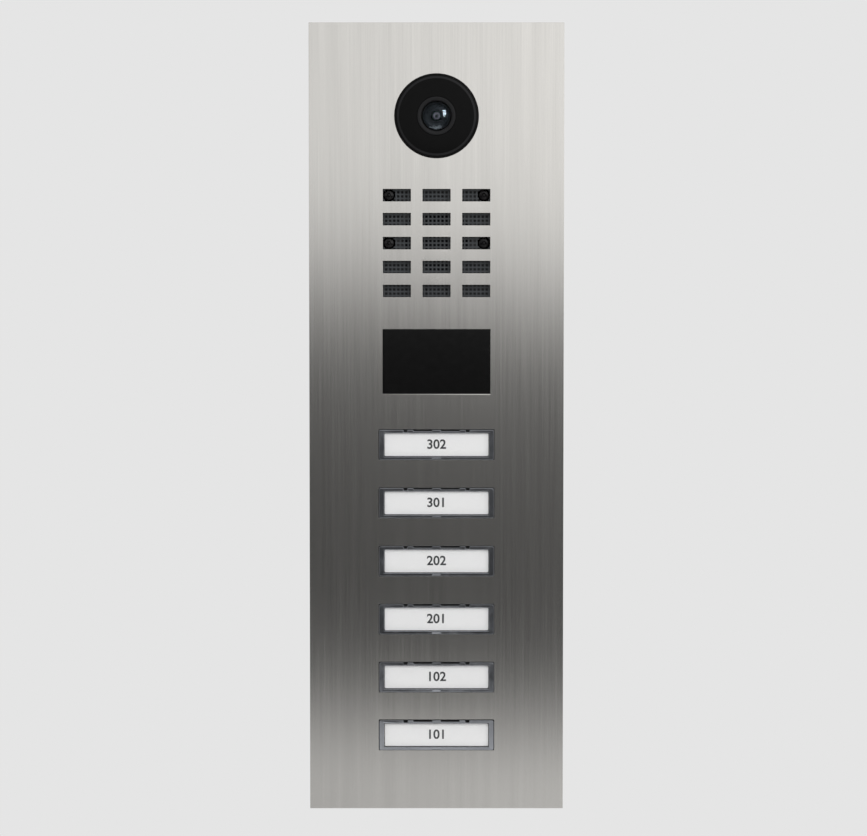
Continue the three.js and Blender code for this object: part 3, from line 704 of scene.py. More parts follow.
@dataclass(frozen=True)
class CadFrame:
    """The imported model: its nodes, and where they lie."""

    nodes: dict[str, bpy.types.Object]

    def box(self, node: str) -> tuple[Vector, Vector]:
        """Returns a node's lowest and highest corners at rest."""
        low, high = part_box(node)
        return Vector(low), Vector(high)

    def middle(self, node: str) -> Vector:
        """Returns the middle of a node's box."""
        low, high = self.box(node)
        return (low + high) / 2

    def refined(self, node: str, name: str, width: float, segments: int = 2,
                ring: bool = False) -> bpy.types.Object:
        """Copies a node's mesh, merges its loose triangles into whole faces and rounds its edges.

        Args:
            node: the CAD node.
            name: the new object's name.
            width: the width of the rounding.
            segments: how many strips make it.
            ring: whether its flat faces go round a hole, so they merge no further than quads.

        Returns:
            The new object.
        """
        piece = bpy.data.objects.new(name, self.nodes[node].data.copy())
        bpy.context.scene.collection.objects.link(piece)
        with editing(piece):
            bpy.ops.mesh.select_all(action="SELECT")
            bpy.ops.mesh.remove_doubles(threshold=WELD_DISTANCE)
            if ring:
                bpy.ops.mesh.tris_convert_to_quads(face_threshold=math.radians(1),
                                                   shape_threshold=math.pi)
            else:
                bpy.ops.mesh.dissolve_limited(angle_limit=math.radians(1))
        soften(piece, width, segments)
        return piece


def copy_shifted(piece: bpy.types.Object, name: str, shift: Vector) -> bpy.types.Object:
    """Copies a finished piece with a mesh of its own to another place.

    Args:
        piece: the piece to copy.
        name: the copy's name.
        shift: from the piece to the copy.

    Returns:
        The copy, with its place in its mesh.
    """
    select_only(piece)
    bpy.ops.object.duplicate()
    copy = bpy.context.active_object
    copy.name = name
    bpy.ops.transform.translate(value=shift)
    settle(copy)
    return copy


def arc(centre: tuple[float, float], radius: float, start: float, end: float,
        steps: int = 5) -> list[tuple[float, float]]:
    """Returns points on an arc of a lathe profile.

    Args:
        centre: the arc's centre, as radius and distance along the axis.
        radius: the arc's radius.
        start: where it starts, in degrees from the radial direction.
        end: where it ends.
        steps: how many chords it has.

    Returns:
        The profile points, from start to end.
    """
    angles = [math.radians(start + (end - start) * step / steps) for step in range(steps + 1)]
    return [(centre[0] + radius * math.cos(a), centre[1] + radius * math.sin(a)) for a in angles]


@dataclass
class PieceMaker:
    """A group of pieces, mostly on one body, made round the CAD frame with shared finishes."""

    cad: CadFrame
    finishes: Finishes
    body: ClassVar[str] = FRONT_UNIT

    def place(self, piece: bpy.types.Object, material: bpy.types.Material, slot: str, node: str,
              body: str | None = None) -> None:
        """Finishes a new piece: its material and body, and hides the CAD node it stands for.

        Args:
            piece: the finished object.
            material: its material.
            slot: not used.
            node: the CAD node it replaces, alone or with others.
            body: the CAD body it rides on, if it isn't the group's.
        """
        settle(piece)
        piece.data.materials.clear()
        piece.data.materials.append(material)
        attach(piece, body or self.body)
        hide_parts(node)
        log.info("built %s on %s in %s", piece.name, body or self.body, material.name)

    def refine(self, node: str, name: str, width: float, material: bpy.types.Material, slot: str,
               segments: int = 2, ring: bool = False) -> None:
        """Rounds a CAD node's edges and places the result; see CadFrame.refined.

        Args:
            node: the CAD node.
            name: the new object's name.
            width: the width of the rounding.
            material: its material.
            slot: the record's material slot.
            segments: how many strips make the rounding.
            ring: whether its flat faces go round a hole.
        """
        self.place(self.cad.refined(node, name, width, segments, ring), material, slot, node)


# ------------------------------------------------------------------------------ front


@dataclass
class FrontPlate(PieceMaker):
    """The 3 mm brushed plate with its openings, the folded frame behind it and the lock screws."""

    camera_opening: float = 18.7 * MM
    slot_width: float = 12.4 * MM
    slot_height: float = 5.5 * MM
    column_pitch: float = 17.6 * MM
    row_pitch: float = 10.6 * MM
    columns: int = 3
    rows: int = 5
    window_flange: float = 2.4 * MM
    opening_gap: float = 0.3 * MM
    edge_break: float = 0.15 * MM

    def build(self) -> None:
        """Builds the plate, the frame and the screws."""
        self.plate()
        self.refine("mounting_frame", "hanging_frame", 0.25 * MM, self.finishes.galvanised,
                    "frame_steel")
        self.lock_screws()

    def opening(self, name: str, low: Vector, high: Vector, gap: float) -> bpy.types.Object:
        """Makes a cutter that runs right through the plate.

        Args:
            name: the cutter's name.
            low: the lowest corner of what sits in the opening.
            high: its highest corner.
            gap: the room round it.

        Returns:
            The cutter.
        """
        front, back = self.cad.box("front_panel")
        return block(name, (low.x - gap, front.y - MM, low.z - gap),
                     (high.x + gap, back.y + MM, high.z + gap))

    def plate(self) -> None:
        """Cuts the camera hole, slots, window and button openings, then breaks every edge."""
        low, high = self.cad.box("front_panel")
        plate = block("brushed_plate", low, high)
        camera = self.cad.middle("camera_cover")
        cutters = [rod("camera_opening", (camera.x, low.y - MM, camera.z), Axis.Y,
                       self.camera_opening, high.y - low.y + 2 * MM, 128)]
        rim = Vector((self.window_flange, 0, self.window_flange))
        start, end = self.cad.box("reader_window")
        cutters.append(self.opening("window_opening", start + rim, end - rim, self.opening_gap))
        field = self.cad.middle("acoustic_grille")
        half = Vector((self.slot_width / 2, 0, self.slot_height / 2))
        for row in range(self.rows):
            for column in range(self.columns):
                middle = field + Vector((
                    (column - (self.columns - 1) / 2) * self.column_pitch, 0,
                    ((self.rows - 1) / 2 - row) * self.row_pitch,
                ))
                cutters.append(self.opening("sound_slot", middle - half, middle + half, 0))
        for number in range(1, BUTTON_COUNT + 1):
            start, end = self.cad.box(f"button_cap_{number}")
            cutters.append(self.opening("button_opening", start, end, self.opening_gap))
        cut(plate, cutters)
        soften(plate, self.edge_break, 3)
        self.place(plate, self.finishes.front, "front_steel", "front_panel")

    def lock_screws(self) -> None:
        """Turns a cap screw with a ridged shank and a six-sided drive, and copies it."""
        low, high = self.cad.box("locking_screw_1")
        head = (high.x - low.x) / 2
        shank = 1.5 * MM
        head_top = low.z + 2.8 * MM
        drive, drive_depth, chamfer = 1.25 * MM, 1.6 * MM, 0.3 * MM
        profile = [(0, low.z), (drive * 1.3, low.z), (head - chamfer, low.z),
                   (head, low.z + chamfer), (head, head_top), (shank, head_top)]
        thread = head_top + 0.4 * MM
        pitch, crest = 0.5 * MM, 0.12 * MM
        while thread + pitch < high.z - chamfer:
            profile += [(shank, thread), (shank - crest, thread + pitch / 2)]
            thread += pitch
        profile += [(shank, high.z - chamfer), (shank - chamfer, high.z), (0, high.z)]
        middle = self.cad.middle("locking_screw_1")
        screw = turned("lock_screw_1", profile, (middle.x, middle.y, 0), Axis.Z, 48)
        socket = rod("drive", (middle.x, middle.y, low.z - MM), Axis.Z, drive, drive_depth + MM, 6)
        cut(screw, [socket])
        soften(screw, 0)
        other = copy_shifted(screw, "lock_screw_2", self.cad.middle("locking_screw_2") - middle)
        for number, piece in enumerate((screw, other), 1):
            self.place(piece, self.finishes.bright, "screw_steel", f"locking_screw_{number}")


@dataclass
class CameraUnit(PieceMaker):
    """The gloss black cover, its lens ring, the domed glass with what lies in it, the barrel."""

    cover_radius: float = 18.4 * MM
    face_radius: float = 16.5 * MM
    ring_radius: float = 8.5 * MM
    ring_bore: float = 6.6 * MM
    ring_proud: float = 0.5 * MM
    flange_thickness: float = 1.5 * MM
    wall: float = 2.2 * MM
    dome_curve: float = 12.0 * MM
    glass_thickness: float = 0.6 * MM
    bowl_depth: float = 2.15 * MM
    steps: int = 128

    def build(self) -> None:
        """Builds every piece of the camera, from the front to the back."""
        self.cover()
        self.lens_ring()
        self.glass()
        self.bowl()
        self.iris()
        self.barrel()
        self.refine("camera_board", "camera_circuit", 0.1 * MM, self.finishes.board,
                    "circuit_board")

    def turn(self, name: str, profile: Sequence[tuple[float, float]]) -> bpy.types.Object:
        """Turns a profile of radius and y on the camera's axis."""
        middle = self.cad.middle("camera_cover")
        piece = lathed(name, profile, (middle.x, 0, middle.z), Axis.Y, self.steps)
        return piece

    def cover(self) -> None:
        """Turns the cover: flat face, a narrow slope, a rounded rim and the flange behind, with a
        lighter band on the slope that is a painted highlight.
        """
        low, high = self.cad.box("camera_cover")
        flange = (high.x - low.x) / 2
        face = low.y + self.ring_proud
        seat = high.y - self.flange_thickness
        slope, slope_fall, round_rim = 1.15 * MM, 0.32 * MM, 0.75 * MM
        edge = self.face_radius + slope
        profile = [
            (self.ring_radius, face + self.wall), (self.ring_radius, face + 0.15 * MM),
            (self.ring_radius + 0.15 * MM, face), (self.face_radius, face),
            (edge, face + slope_fall),
            *arc((self.cover_radius - round_rim, face + slope_fall + round_rim), round_rim, -70, 0),
            (self.cover_radius, seat), (flange - 0.2 * MM, seat), (flange, seat + 0.2 * MM),
            (flange, high.y), (self.cover_radius - self.flange_thickness, high.y),
            (self.cover_radius - self.flange_thickness, face + self.wall),
            (self.ring_radius, face + self.wall),
        ]
        piece = self.turn("camera_front", profile)
        self.place(piece, self.finishes.cover, "cover_gloss", "camera_cover")
        # A thin, lighter satin shell over the slope is a painted highlight: it stands for the light
        # that the bevelled rim catches.
        proud, inset = 0.05 * MM, 0.1 * MM
        fall = slope_fall / slope
        start, end = self.face_radius + inset, edge - inset
        band = self.turn("camera_rim_painted_highlight", [
            (start, face + inset * fall + proud), (start, face + inset * fall - proud),
            (end, face + slope_fall - inset * fall - proud),
            (end, face + slope_fall - inset * fall + proud),
            (start, face + inset * fall + proud),
        ])
        self.place(band, self.finishes.lens_ring, "cover_gloss", "camera_cover")

    def lens_ring(self) -> None:
        """Turns the raised satin ring round the lens, with rounded lips and a tube behind."""
        low, high = self.cad.box("camera_cover")
        lip = 0.3 * MM
        outer, inner = self.ring_radius - 0.02 * MM, self.ring_bore
        profile = [
            *arc((outer - lip, low.y + lip), lip, 0, -90), (inner + 0.7 * MM, low.y),
            (inner + 0.25 * MM, low.y + 0.3 * MM), (inner, low.y + 0.9 * MM), (inner, high.y),
            (outer, high.y), (outer, low.y + lip),
        ]
        piece = self.turn("camera_lens_ring", profile)
        self.place(piece, self.finishes.lens_ring, "cover_gloss", "camera_cover")

    def glass(self) -> None:
        """Turns the domed front glass, a shell of even thickness."""
        low, high = self.cad.box("camera_lens")
        radius = (high.x - low.x) / 2 - 0.1 * MM
        half_angle = math.degrees(math.asin(radius / self.dome_curve))
        centre = (0.0, low.y + self.dome_curve)
        inside = self.dome_curve - self.glass_thickness
        profile = [*arc(centre, self.dome_curve, -90, -90 + half_angle, 16),
                   *arc(centre, inside, -90 + half_angle, -90, 16), (0, low.y)]
        piece = self.turn("camera_dome_glass", profile)
        self.place(piece, self.finishes.glass, "lens_glass", "camera_lens")

    def bowl(self) -> None:
        """Turns the hollow black bowl between the front glass and the inner lens."""
        low, high = self.cad.box("camera_lens")
        outer = (high.x - low.x) / 2 - 0.1 * MM
        rim, back = low.y + self.bowl_depth, high.y
        curve, mouth, throat = 11 * MM, 5.9 * MM, 2.6 * MM
        start, end = math.acos(mouth / curve), math.acos(throat / curve)
        centre = (0.0, rim + 0.1 * MM - curve * math.sin(start))
        profile = [
            (outer, rim), (mouth, rim),
            *arc(centre, curve, math.degrees(start), math.degrees(end), 8),
            (throat - 0.1 * MM, back - 0.2 * MM), (2.2 * MM, back), (outer, back), (outer, rim),
        ]
        piece = self.turn("camera_inner_bowl", profile)
        self.place(piece, self.finishes.bowl, "lens_glass", "camera_lens")

    def iris(self) -> None:
        """Turns the small inner lens: a bright rounded ring about a pupil filled by a black plug,
        which is painted shade.
        """
        high = self.cad.box("camera_lens")[1]
        ring, pupil, seat = 1.75 * MM, 0.62 * MM, high.y - 0.25 * MM
        profile = [(ring, high.y + 0.2 * MM),
                   *arc((ring - 0.55 * MM, seat - 0.3 * MM), 0.55 * MM, 0, -180, 8),
                   (pupil, seat), (pupil, high.y + 0.2 * MM), (ring, high.y + 0.2 * MM)]
        piece = self.turn("camera_iris", profile)
        self.place(piece, self.finishes.iris, "lens_glass", "camera_lens")
        # The black plug in the pupil is painted shade: it stands for the dark inside of the lens.
        shade_plug = self.turn("camera_pupil_shade_plug", [(0, seat), (pupil - 0.02 * MM, seat),
                                          (pupil - 0.02 * MM, high.y), (0, high.y), (0, seat)])
        self.place(shade_plug, self.finishes.window, "lens_glass", "camera_lens")

    def barrel(self) -> None:
        """Turns the lens barrel with its focus thread."""
        low, high = self.cad.box("lens_barrel")
        outer = (high.x - low.x) / 2
        nose, bore, groove, pitch = 6.2 * MM, 3.0 * MM, 0.3 * MM, 0.9 * MM
        shoulder = self.cad.box("camera_cover")[1].y + 0.3 * MM
        profile = [(bore, low.y), (nose, low.y), (nose, shoulder), (outer, shoulder)]
        turn = shoulder + pitch
        while turn + pitch < high.y:
            profile += [(outer, turn), (outer - groove, turn + pitch / 2)]
            turn += pitch
        profile += [(outer, turn), (outer, high.y), (bore, high.y), (bore, low.y)]
        piece = self.turn("lens_focus_barrel", profile)
        self.place(piece, self.finishes.housing, "housing_plastic", "lens_barrel")


@dataclass
class SoundField(PieceMaker):
    """What lies behind the slots: woven grille, infrared lamps, loudspeaker and microphone."""

    mesh_pitch: float = 1.8 * MM
    mesh_bar: float = 0.72 * MM
    lamp_clearance: float = 0.3 * MM
    lamp_radius: float = 2.5 * MM

    def build(self) -> None:
        """Builds the grille, the lamps, the loudspeaker and the microphone."""
        self.grille()
        self.lamps()
        self.loudspeaker()
        self.capsule()

    def grille(self) -> None:
        """Insets every cell of a grid, opens the cells and gives the web its thickness."""
        low, high = self.cad.box("acoustic_grille")
        across = round((high.x - low.x) / self.mesh_pitch)
        bpy.ops.object.select_all(action="DESELECT")
        bpy.ops.mesh.primitive_grid_add(
            x_subdivisions=across, y_subdivisions=across, size=1,
            location=((low.x + high.x) / 2, low.y, (low.z + high.z) / 2),
            rotation=(math.pi / 2, 0, 0),
        )
        web = bpy.context.active_object
        web.name = "slot_mesh"
        web.scale = (high.x - low.x, high.z - low.z, 1)
        settle(web)
        with editing(web):
            bpy.ops.mesh.select_mode(type="FACE")
            bpy.ops.mesh.select_all(action="SELECT")
            bpy.ops.mesh.inset(thickness=self.mesh_bar / 2, use_individual=True)
            bpy.ops.mesh.delete(type="FACE")
        apply_modifier(web, "SOLIDIFY", thickness=high.y - low.y, offset=-1.0)
        holes = []
        for number in range(1, LAMP_COUNT + 1):
            lamp = self.cad.middle(f"ir_led_{number}")
            holes.append(rod("lamp_hole", (lamp.x, low.y - MM, lamp.z), Axis.Y,
                             self.lamp_radius + self.lamp_clearance, 3 * MM, 32))
        cut(web, holes)
        self.place(web, self.finishes.wire, "mesh_wire", "acoustic_grille")

    def lamps(self) -> None:
        """Turns one lamp, dome, stepped tip, barrel and collar, and copies it."""
        low, high = self.cad.box("ir_led_1")
        middle = self.cad.middle("ir_led_1")
        collar = (high.x - low.x) / 2
        radius, step = self.lamp_radius, 0.35 * MM
        profile = [
            *arc((0, low.y + 0.9 * MM), 0.9 * MM, -90, -20, 5), (1.15 * MM, low.y + 0.75 * MM),
            *arc((radius - 1.15 * MM, low.y + 0.75 * MM + 1.15 * MM), 1.15 * MM, -80, 0, 6),
            (radius, high.y - MM - step), (collar, high.y - MM), (collar, high.y), (0, high.y),
        ]
        lamp = lathed("infrared_lamp_1", profile, (middle.x, 0, middle.z), Axis.Y, 48)
        for number in range(1, LAMP_COUNT + 1):
            piece = lamp
            if number > 1:
                shift = self.cad.middle(f"ir_led_{number}") - middle
                piece = copy_shifted(lamp, f"infrared_lamp_{number}", shift)
            self.place(piece, self.finishes.lamp, "lamp_epoxy", f"ir_led_{number}")

    def loudspeaker(self) -> None:
        """Turns the basket, the cone with its rolled edge, and the magnet."""
        low, high = self.cad.box("speaker_basket")
        centre = self.cad.middle("speaker_basket")
        outer, back = (high.x - low.x) / 2, high.y
        rim, neck, bore, wall = outer - 2.8 * MM, 10.8 * MM, 6.0 * MM, 0.9 * MM
        shelf = low.y + 1.2 * MM
        basket = lathed("speaker_chassis", [
            (rim, low.y), *arc((outer - 0.3 * MM, low.y + 0.3 * MM), 0.3 * MM, -90, 0, 3),
            (outer, shelf), (rim + MM, shelf), (neck, back - MM), (neck, back), (bore, back),
            (bore, back - MM), (neck - wall, back - MM), (rim, shelf), (rim, low.y),
        ], (centre.x, 0, centre.z), Axis.Y, 72)
        self.place(basket, self.finishes.housing, "housing_plastic", "speaker_basket")
        low, high = self.cad.box("speaker_cone")
        edge, roll, cap = (high.x - low.x) / 2, 1.3 * MM, 5.6 * MM
        sheet = 0.35 * MM
        wave = [(edge - roll * part, low.y + 0.45 * MM - 0.4 * MM * math.sin(math.pi * part))
                for part in (step / 8 for step in range(9))]
        dust_cap = [(cap * math.cos(a), high.y - 1.6 * MM - 1.6 * MM * math.sin(a))
                    for a in (math.radians(15 * step) for step in range(7))]
        front = [*wave, (7.0 * MM, high.y - 1.5 * MM), *dust_cap]
        rear = [(0, high.y - 2.8 * MM), (cap, high.y - MM), (7.2 * MM, high.y - 0.6 * MM),
                *[(radius, y + sheet) for radius, y in reversed(wave)], wave[0]]
        cone = lathed("speaker_diaphragm", [*front, *rear], (centre.x, 0, centre.z), Axis.Y, 72)
        self.place(cone, self.finishes.cone, "cone_paper", "speaker_cone")
        low, high = self.cad.box("speaker_magnet")
        radius, lip = (high.x - low.x) / 2, 0.6 * MM
        magnet = lathed("speaker_driver", [
            (0, low.y), (radius - lip / 2, low.y), (radius, low.y + lip / 2),
            (radius, high.y - lip), (radius - lip, high.y), (3 * MM, high.y),
            (2.6 * MM, high.y - lip), (0, high.y - lip),
        ], (centre.x, 0, centre.z), Axis.Y, 72)
        self.place(magnet, self.finishes.plated, "magnet_steel", "speaker_magnet")

    def capsule(self) -> None:
        """Turns the rubber boot of the microphone, with its port lip and two sealing ribs."""
        low, high = self.cad.box("microphone")
        middle = self.cad.middle("microphone")
        outer, port, rib = (high.x - low.x) / 2, 2.0 * MM, 0.2 * MM
        profile = [(0, low.y + MM), (port, low.y + MM), (port, low.y + rib),
                   *arc((port + 2 * rib, low.y + rib), rib, 180, 360, 6),
                   (outer - rib, low.y + rib)]
        for level in (0.35, 0.7):
            at = low.y + (high.y - low.y) * level
            profile += [(outer - rib, at - rib), (outer, at), (outer - rib, at + rib)]
        profile += [(outer - rib, high.y), (0, high.y)]
        boot = lathed("microphone_boot", profile, (middle.x, 0, middle.z), Axis.Y, 48)
        self.place(boot, self.finishes.rubber, "grommet_rubber", "microphone")


@dataclass
class Reader(PieceMaker):
    """The gloss black reader window, a stepped pane with a flange, and the antenna behind it."""

    flange: float = 2.4 * MM
    flange_thickness: float = 1.2 * MM
    corner: float = 0.6 * MM
    track_turns: int = 4
    track_pitch: float = 1.3 * MM

    def build(self) -> None:
        """Builds the window and the antenna."""
        low, high = self.cad.box("reader_window")
        step = Vector((self.flange, 0, self.flange))
        pane = block("reader_pane", low, high)
        round_corners(pane, self.corner)
        ring = block("ring", (low.x - MM, low.y - MM, low.z - MM),
                     (high.x + MM, high.y - self.flange_thickness, high.z + MM))
        core = block("core", (low.x + step.x, low.y - 2 * MM, low.z + step.z),
                     (high.x - step.x, high.y, high.z - step.z))
        round_corners(core, self.corner)
        cut(ring, [core])
        cut(pane, [ring])
        soften(pane, 0.15 * MM, 2)
        self.place(pane, self.finishes.window, "window_gloss", "reader_window")
        self.refine("reader_antenna", "antenna_board", 0.1 * MM, self.finishes.board,
                    "circuit_board", ring=True)
        self.tracks()

    def tracks(self) -> None:
        """Lays the antenna's copper turns on its board, each a thin raised frame."""
        low, high = self.cad.box("reader_antenna")
        width, thickness = 0.5 * MM, 0.05 * MM
        turns = []
        for turn in range(self.track_turns):
            inset = MM + turn * self.track_pitch
            loop = block("turn", (low.x + inset, low.y - thickness, low.z + inset),
                         (high.x - inset, low.y, high.z - inset))
            hole = block("hole", (low.x + inset + width, low.y - MM, low.z + inset + width),
                         (high.x - inset - width, low.y + MM, high.z - inset - width))
            cut(loop, [hole])
            turns.append(loop)
        coil = joined(turns, "antenna_coil")
        self.place(coil, self.finishes.copper, "circuit_board", "reader_antenna")


# ------------------------------------------------------------------------------ call buttons


@dataclass
class CallButtons(PieceMaker):
    """Six call buttons: bright bezel, clear pane, a card with a number, carrier and key."""

    numbers: tuple[str, ...] = ("302", "301", "202", "201", "102", "101")
    side_rim: float = 2.1 * MM
    top_rim: float = 1.25 * MM
    bottom_rim: float = 1.25 * MM
    pane_thickness: float = 1.0 * MM
    pane_recess: float = 0.12 * MM
    slit_offset: float = 13.8 * MM
    slit_width: float = 1.8 * MM
    slit_depth: float = 1.0 * MM
    grip_inner: float = 1.9 * MM
    grip_outer: float = 10.3 * MM
    grip_depth: float = 0.6 * MM
    release_width: float = 3.6 * MM
    figure_height: float = 5.8 * MM

    def build(self) -> None:
        """Models the first button and copies each of its pieces to the other five."""
        first = {
            "button_bezel": self.bezel(), "button_pane": self.pane(),
            "label_card": self.card(),
            "button_tray": self.cad.refined("button_carrier_1", "button_tray_1", 0.15 * MM),
            "key_plunger": self.plunger(), "key_switch": self.switch(),
        }
        start = self.cad.middle("name_label_1")
        for number in range(1, BUTTON_COUNT + 1):
            shift = self.cad.middle(f"name_label_{number}") - start
            pieces = first if number == 1 else {
                name: copy_shifted(piece, f"{name}_{number}", shift)
                for name, piece in first.items()
            }
            self.dress(pieces, number)
            self.figures(number)

    def dress(self, pieces: dict[str, bpy.types.Object], number: int) -> None:
        """Gives one button's pieces their bodies and materials, and hides the CAD nodes they stand
        for.

        Args:
            pieces: the pieces by name.
            number: which button it is.
        """
        looks = self.finishes
        for name, material, slot, node in (
                ("button_bezel", looks.rim, "clear_cap", "button_cap"),
                ("button_pane", looks.pane, "clear_cap", "button_cap"),
                ("label_card", looks.paper, "label_paper", "name_label"),
                ("button_tray", looks.tray, "carrier_plastic", "button_carrier"),
                ("key_plunger", looks.acetal, "plunger_plastic", "switch_plunger")):
            self.place(pieces[name], material, slot, f"{node}_{number}", f"button_{number}")
        self.place(pieces["key_switch"], looks.housing, "switch_plastic", f"switch_body_{number}")

    def window(self) -> tuple[Vector, Vector]:
        """Returns the corners of the clear pane in the bezel."""
        low, high = self.cad.box("button_cap_1")
        return (Vector((low.x + self.side_rim, low.y, low.z + self.bottom_rim)),
                Vector((high.x - self.side_rim, low.y + self.pane_thickness,
                        high.z - self.top_rim)))

    def bezel(self) -> bpy.types.Object:
        """Cuts the window, slits and finger grips from a rounded block."""
        low, high = self.cad.box("button_cap_1")
        start, end = self.window()
        bezel = block("button_bezel_1", low, high)
        round_corners(bezel, 0.6 * MM)
        past = 2 * MM
        cutters = [block("window", (start.x, low.y - past, start.z), (end.x, high.y + past, end.z))]
        for side in Side:
            slit = side.value * self.slit_offset
            cutters.append(block(
                "slit", (slit - self.slit_width / 2, low.y - past, high.z - self.slit_depth),
                (slit + self.slit_width / 2, high.y + past, high.z + past)))
            near, far = sorted((side.value * self.grip_inner, side.value * self.grip_outer))
            cutters.append(block("grip", (near, low.y - past, high.z - self.grip_depth),
                                 (far, high.y + past, high.z + past)))
        cutters.append(block(
            "release", (-self.release_width / 2, low.y - past, low.z - past),
            (self.release_width / 2, low.y + 0.5 * MM, low.z + 0.7 * MM)))
        cut(bezel, cutters)
        soften(bezel, 0.14 * MM, 3)
        return bezel

    def pane(self) -> bpy.types.Object:
        """Makes the clear pane, crowned a little towards its edges."""
        start, end = self.window()
        pane = block("button_pane_1", (start.x, start.y + self.pane_recess, start.z), end)
        soften(pane, 0.2 * MM, 2)
        return pane

    def card(self) -> bpy.types.Object:
        """Cuts the label card with small corner radii."""
        card = block("label_card_1", *self.cad.box("name_label_1"))
        round_corners(card, 0.5 * MM, 3)
        return card

    def figures(self, number: int) -> None:
        """Prints a button's number on its card."""
        low = self.cad.box(f"name_label_{number}")[0]
        middle = self.cad.middle(f"name_label_{number}")
        ink = 0.03 * MM
        text = lettering(f"label_figures_{number}", self.numbers[number - 1], self.figure_height,
                         (middle.x, low.y - ink / 2, middle.z), ink)
        self.place(text, self.finishes.ink, "label_paper", f"name_label_{number}",
                   f"button_{number}")

    def plunger(self) -> bpy.types.Object:
        """Turns the key's plunger with a rounded tip."""
        low, high = self.cad.box("switch_plunger_1")
        middle = self.cad.middle("switch_plunger_1")
        radius, tip = (high.x - low.x) / 2, 0.4 * MM
        piece = lathed("key_plunger_1", [
            (0, low.y), *arc((radius - tip, low.y + tip), tip, -90, 0, 4), (radius, high.y),
            (0, high.y),
        ], (middle.x, 0, middle.z), Axis.Y, 32)
        return piece

    def switch(self) -> bpy.types.Object:
        """Shapes the key switch: its case and four rivet heads."""
        low, high = self.cad.box("switch_body_1")
        case = self.cad.refined("switch_body_1", "key_switch_1", 0.12 * MM)
        rivet, inset, proud = 0.45 * MM, 0.9 * MM, 0.12 * MM
        heads = [case]
        for x in (low.x + inset, high.x - inset):
            for z in (low.z + inset, high.z - inset):
                head = lathed("rivet", [
                    *arc((0, low.y + rivet - proud), rivet, -90, -10, 4), (0, low.y + rivet)],
                    (x, 0, z), Axis.Y, 12)
                heads.append(head)
        return joined(heads)


# ------------------------------------------------------------------------------ inside


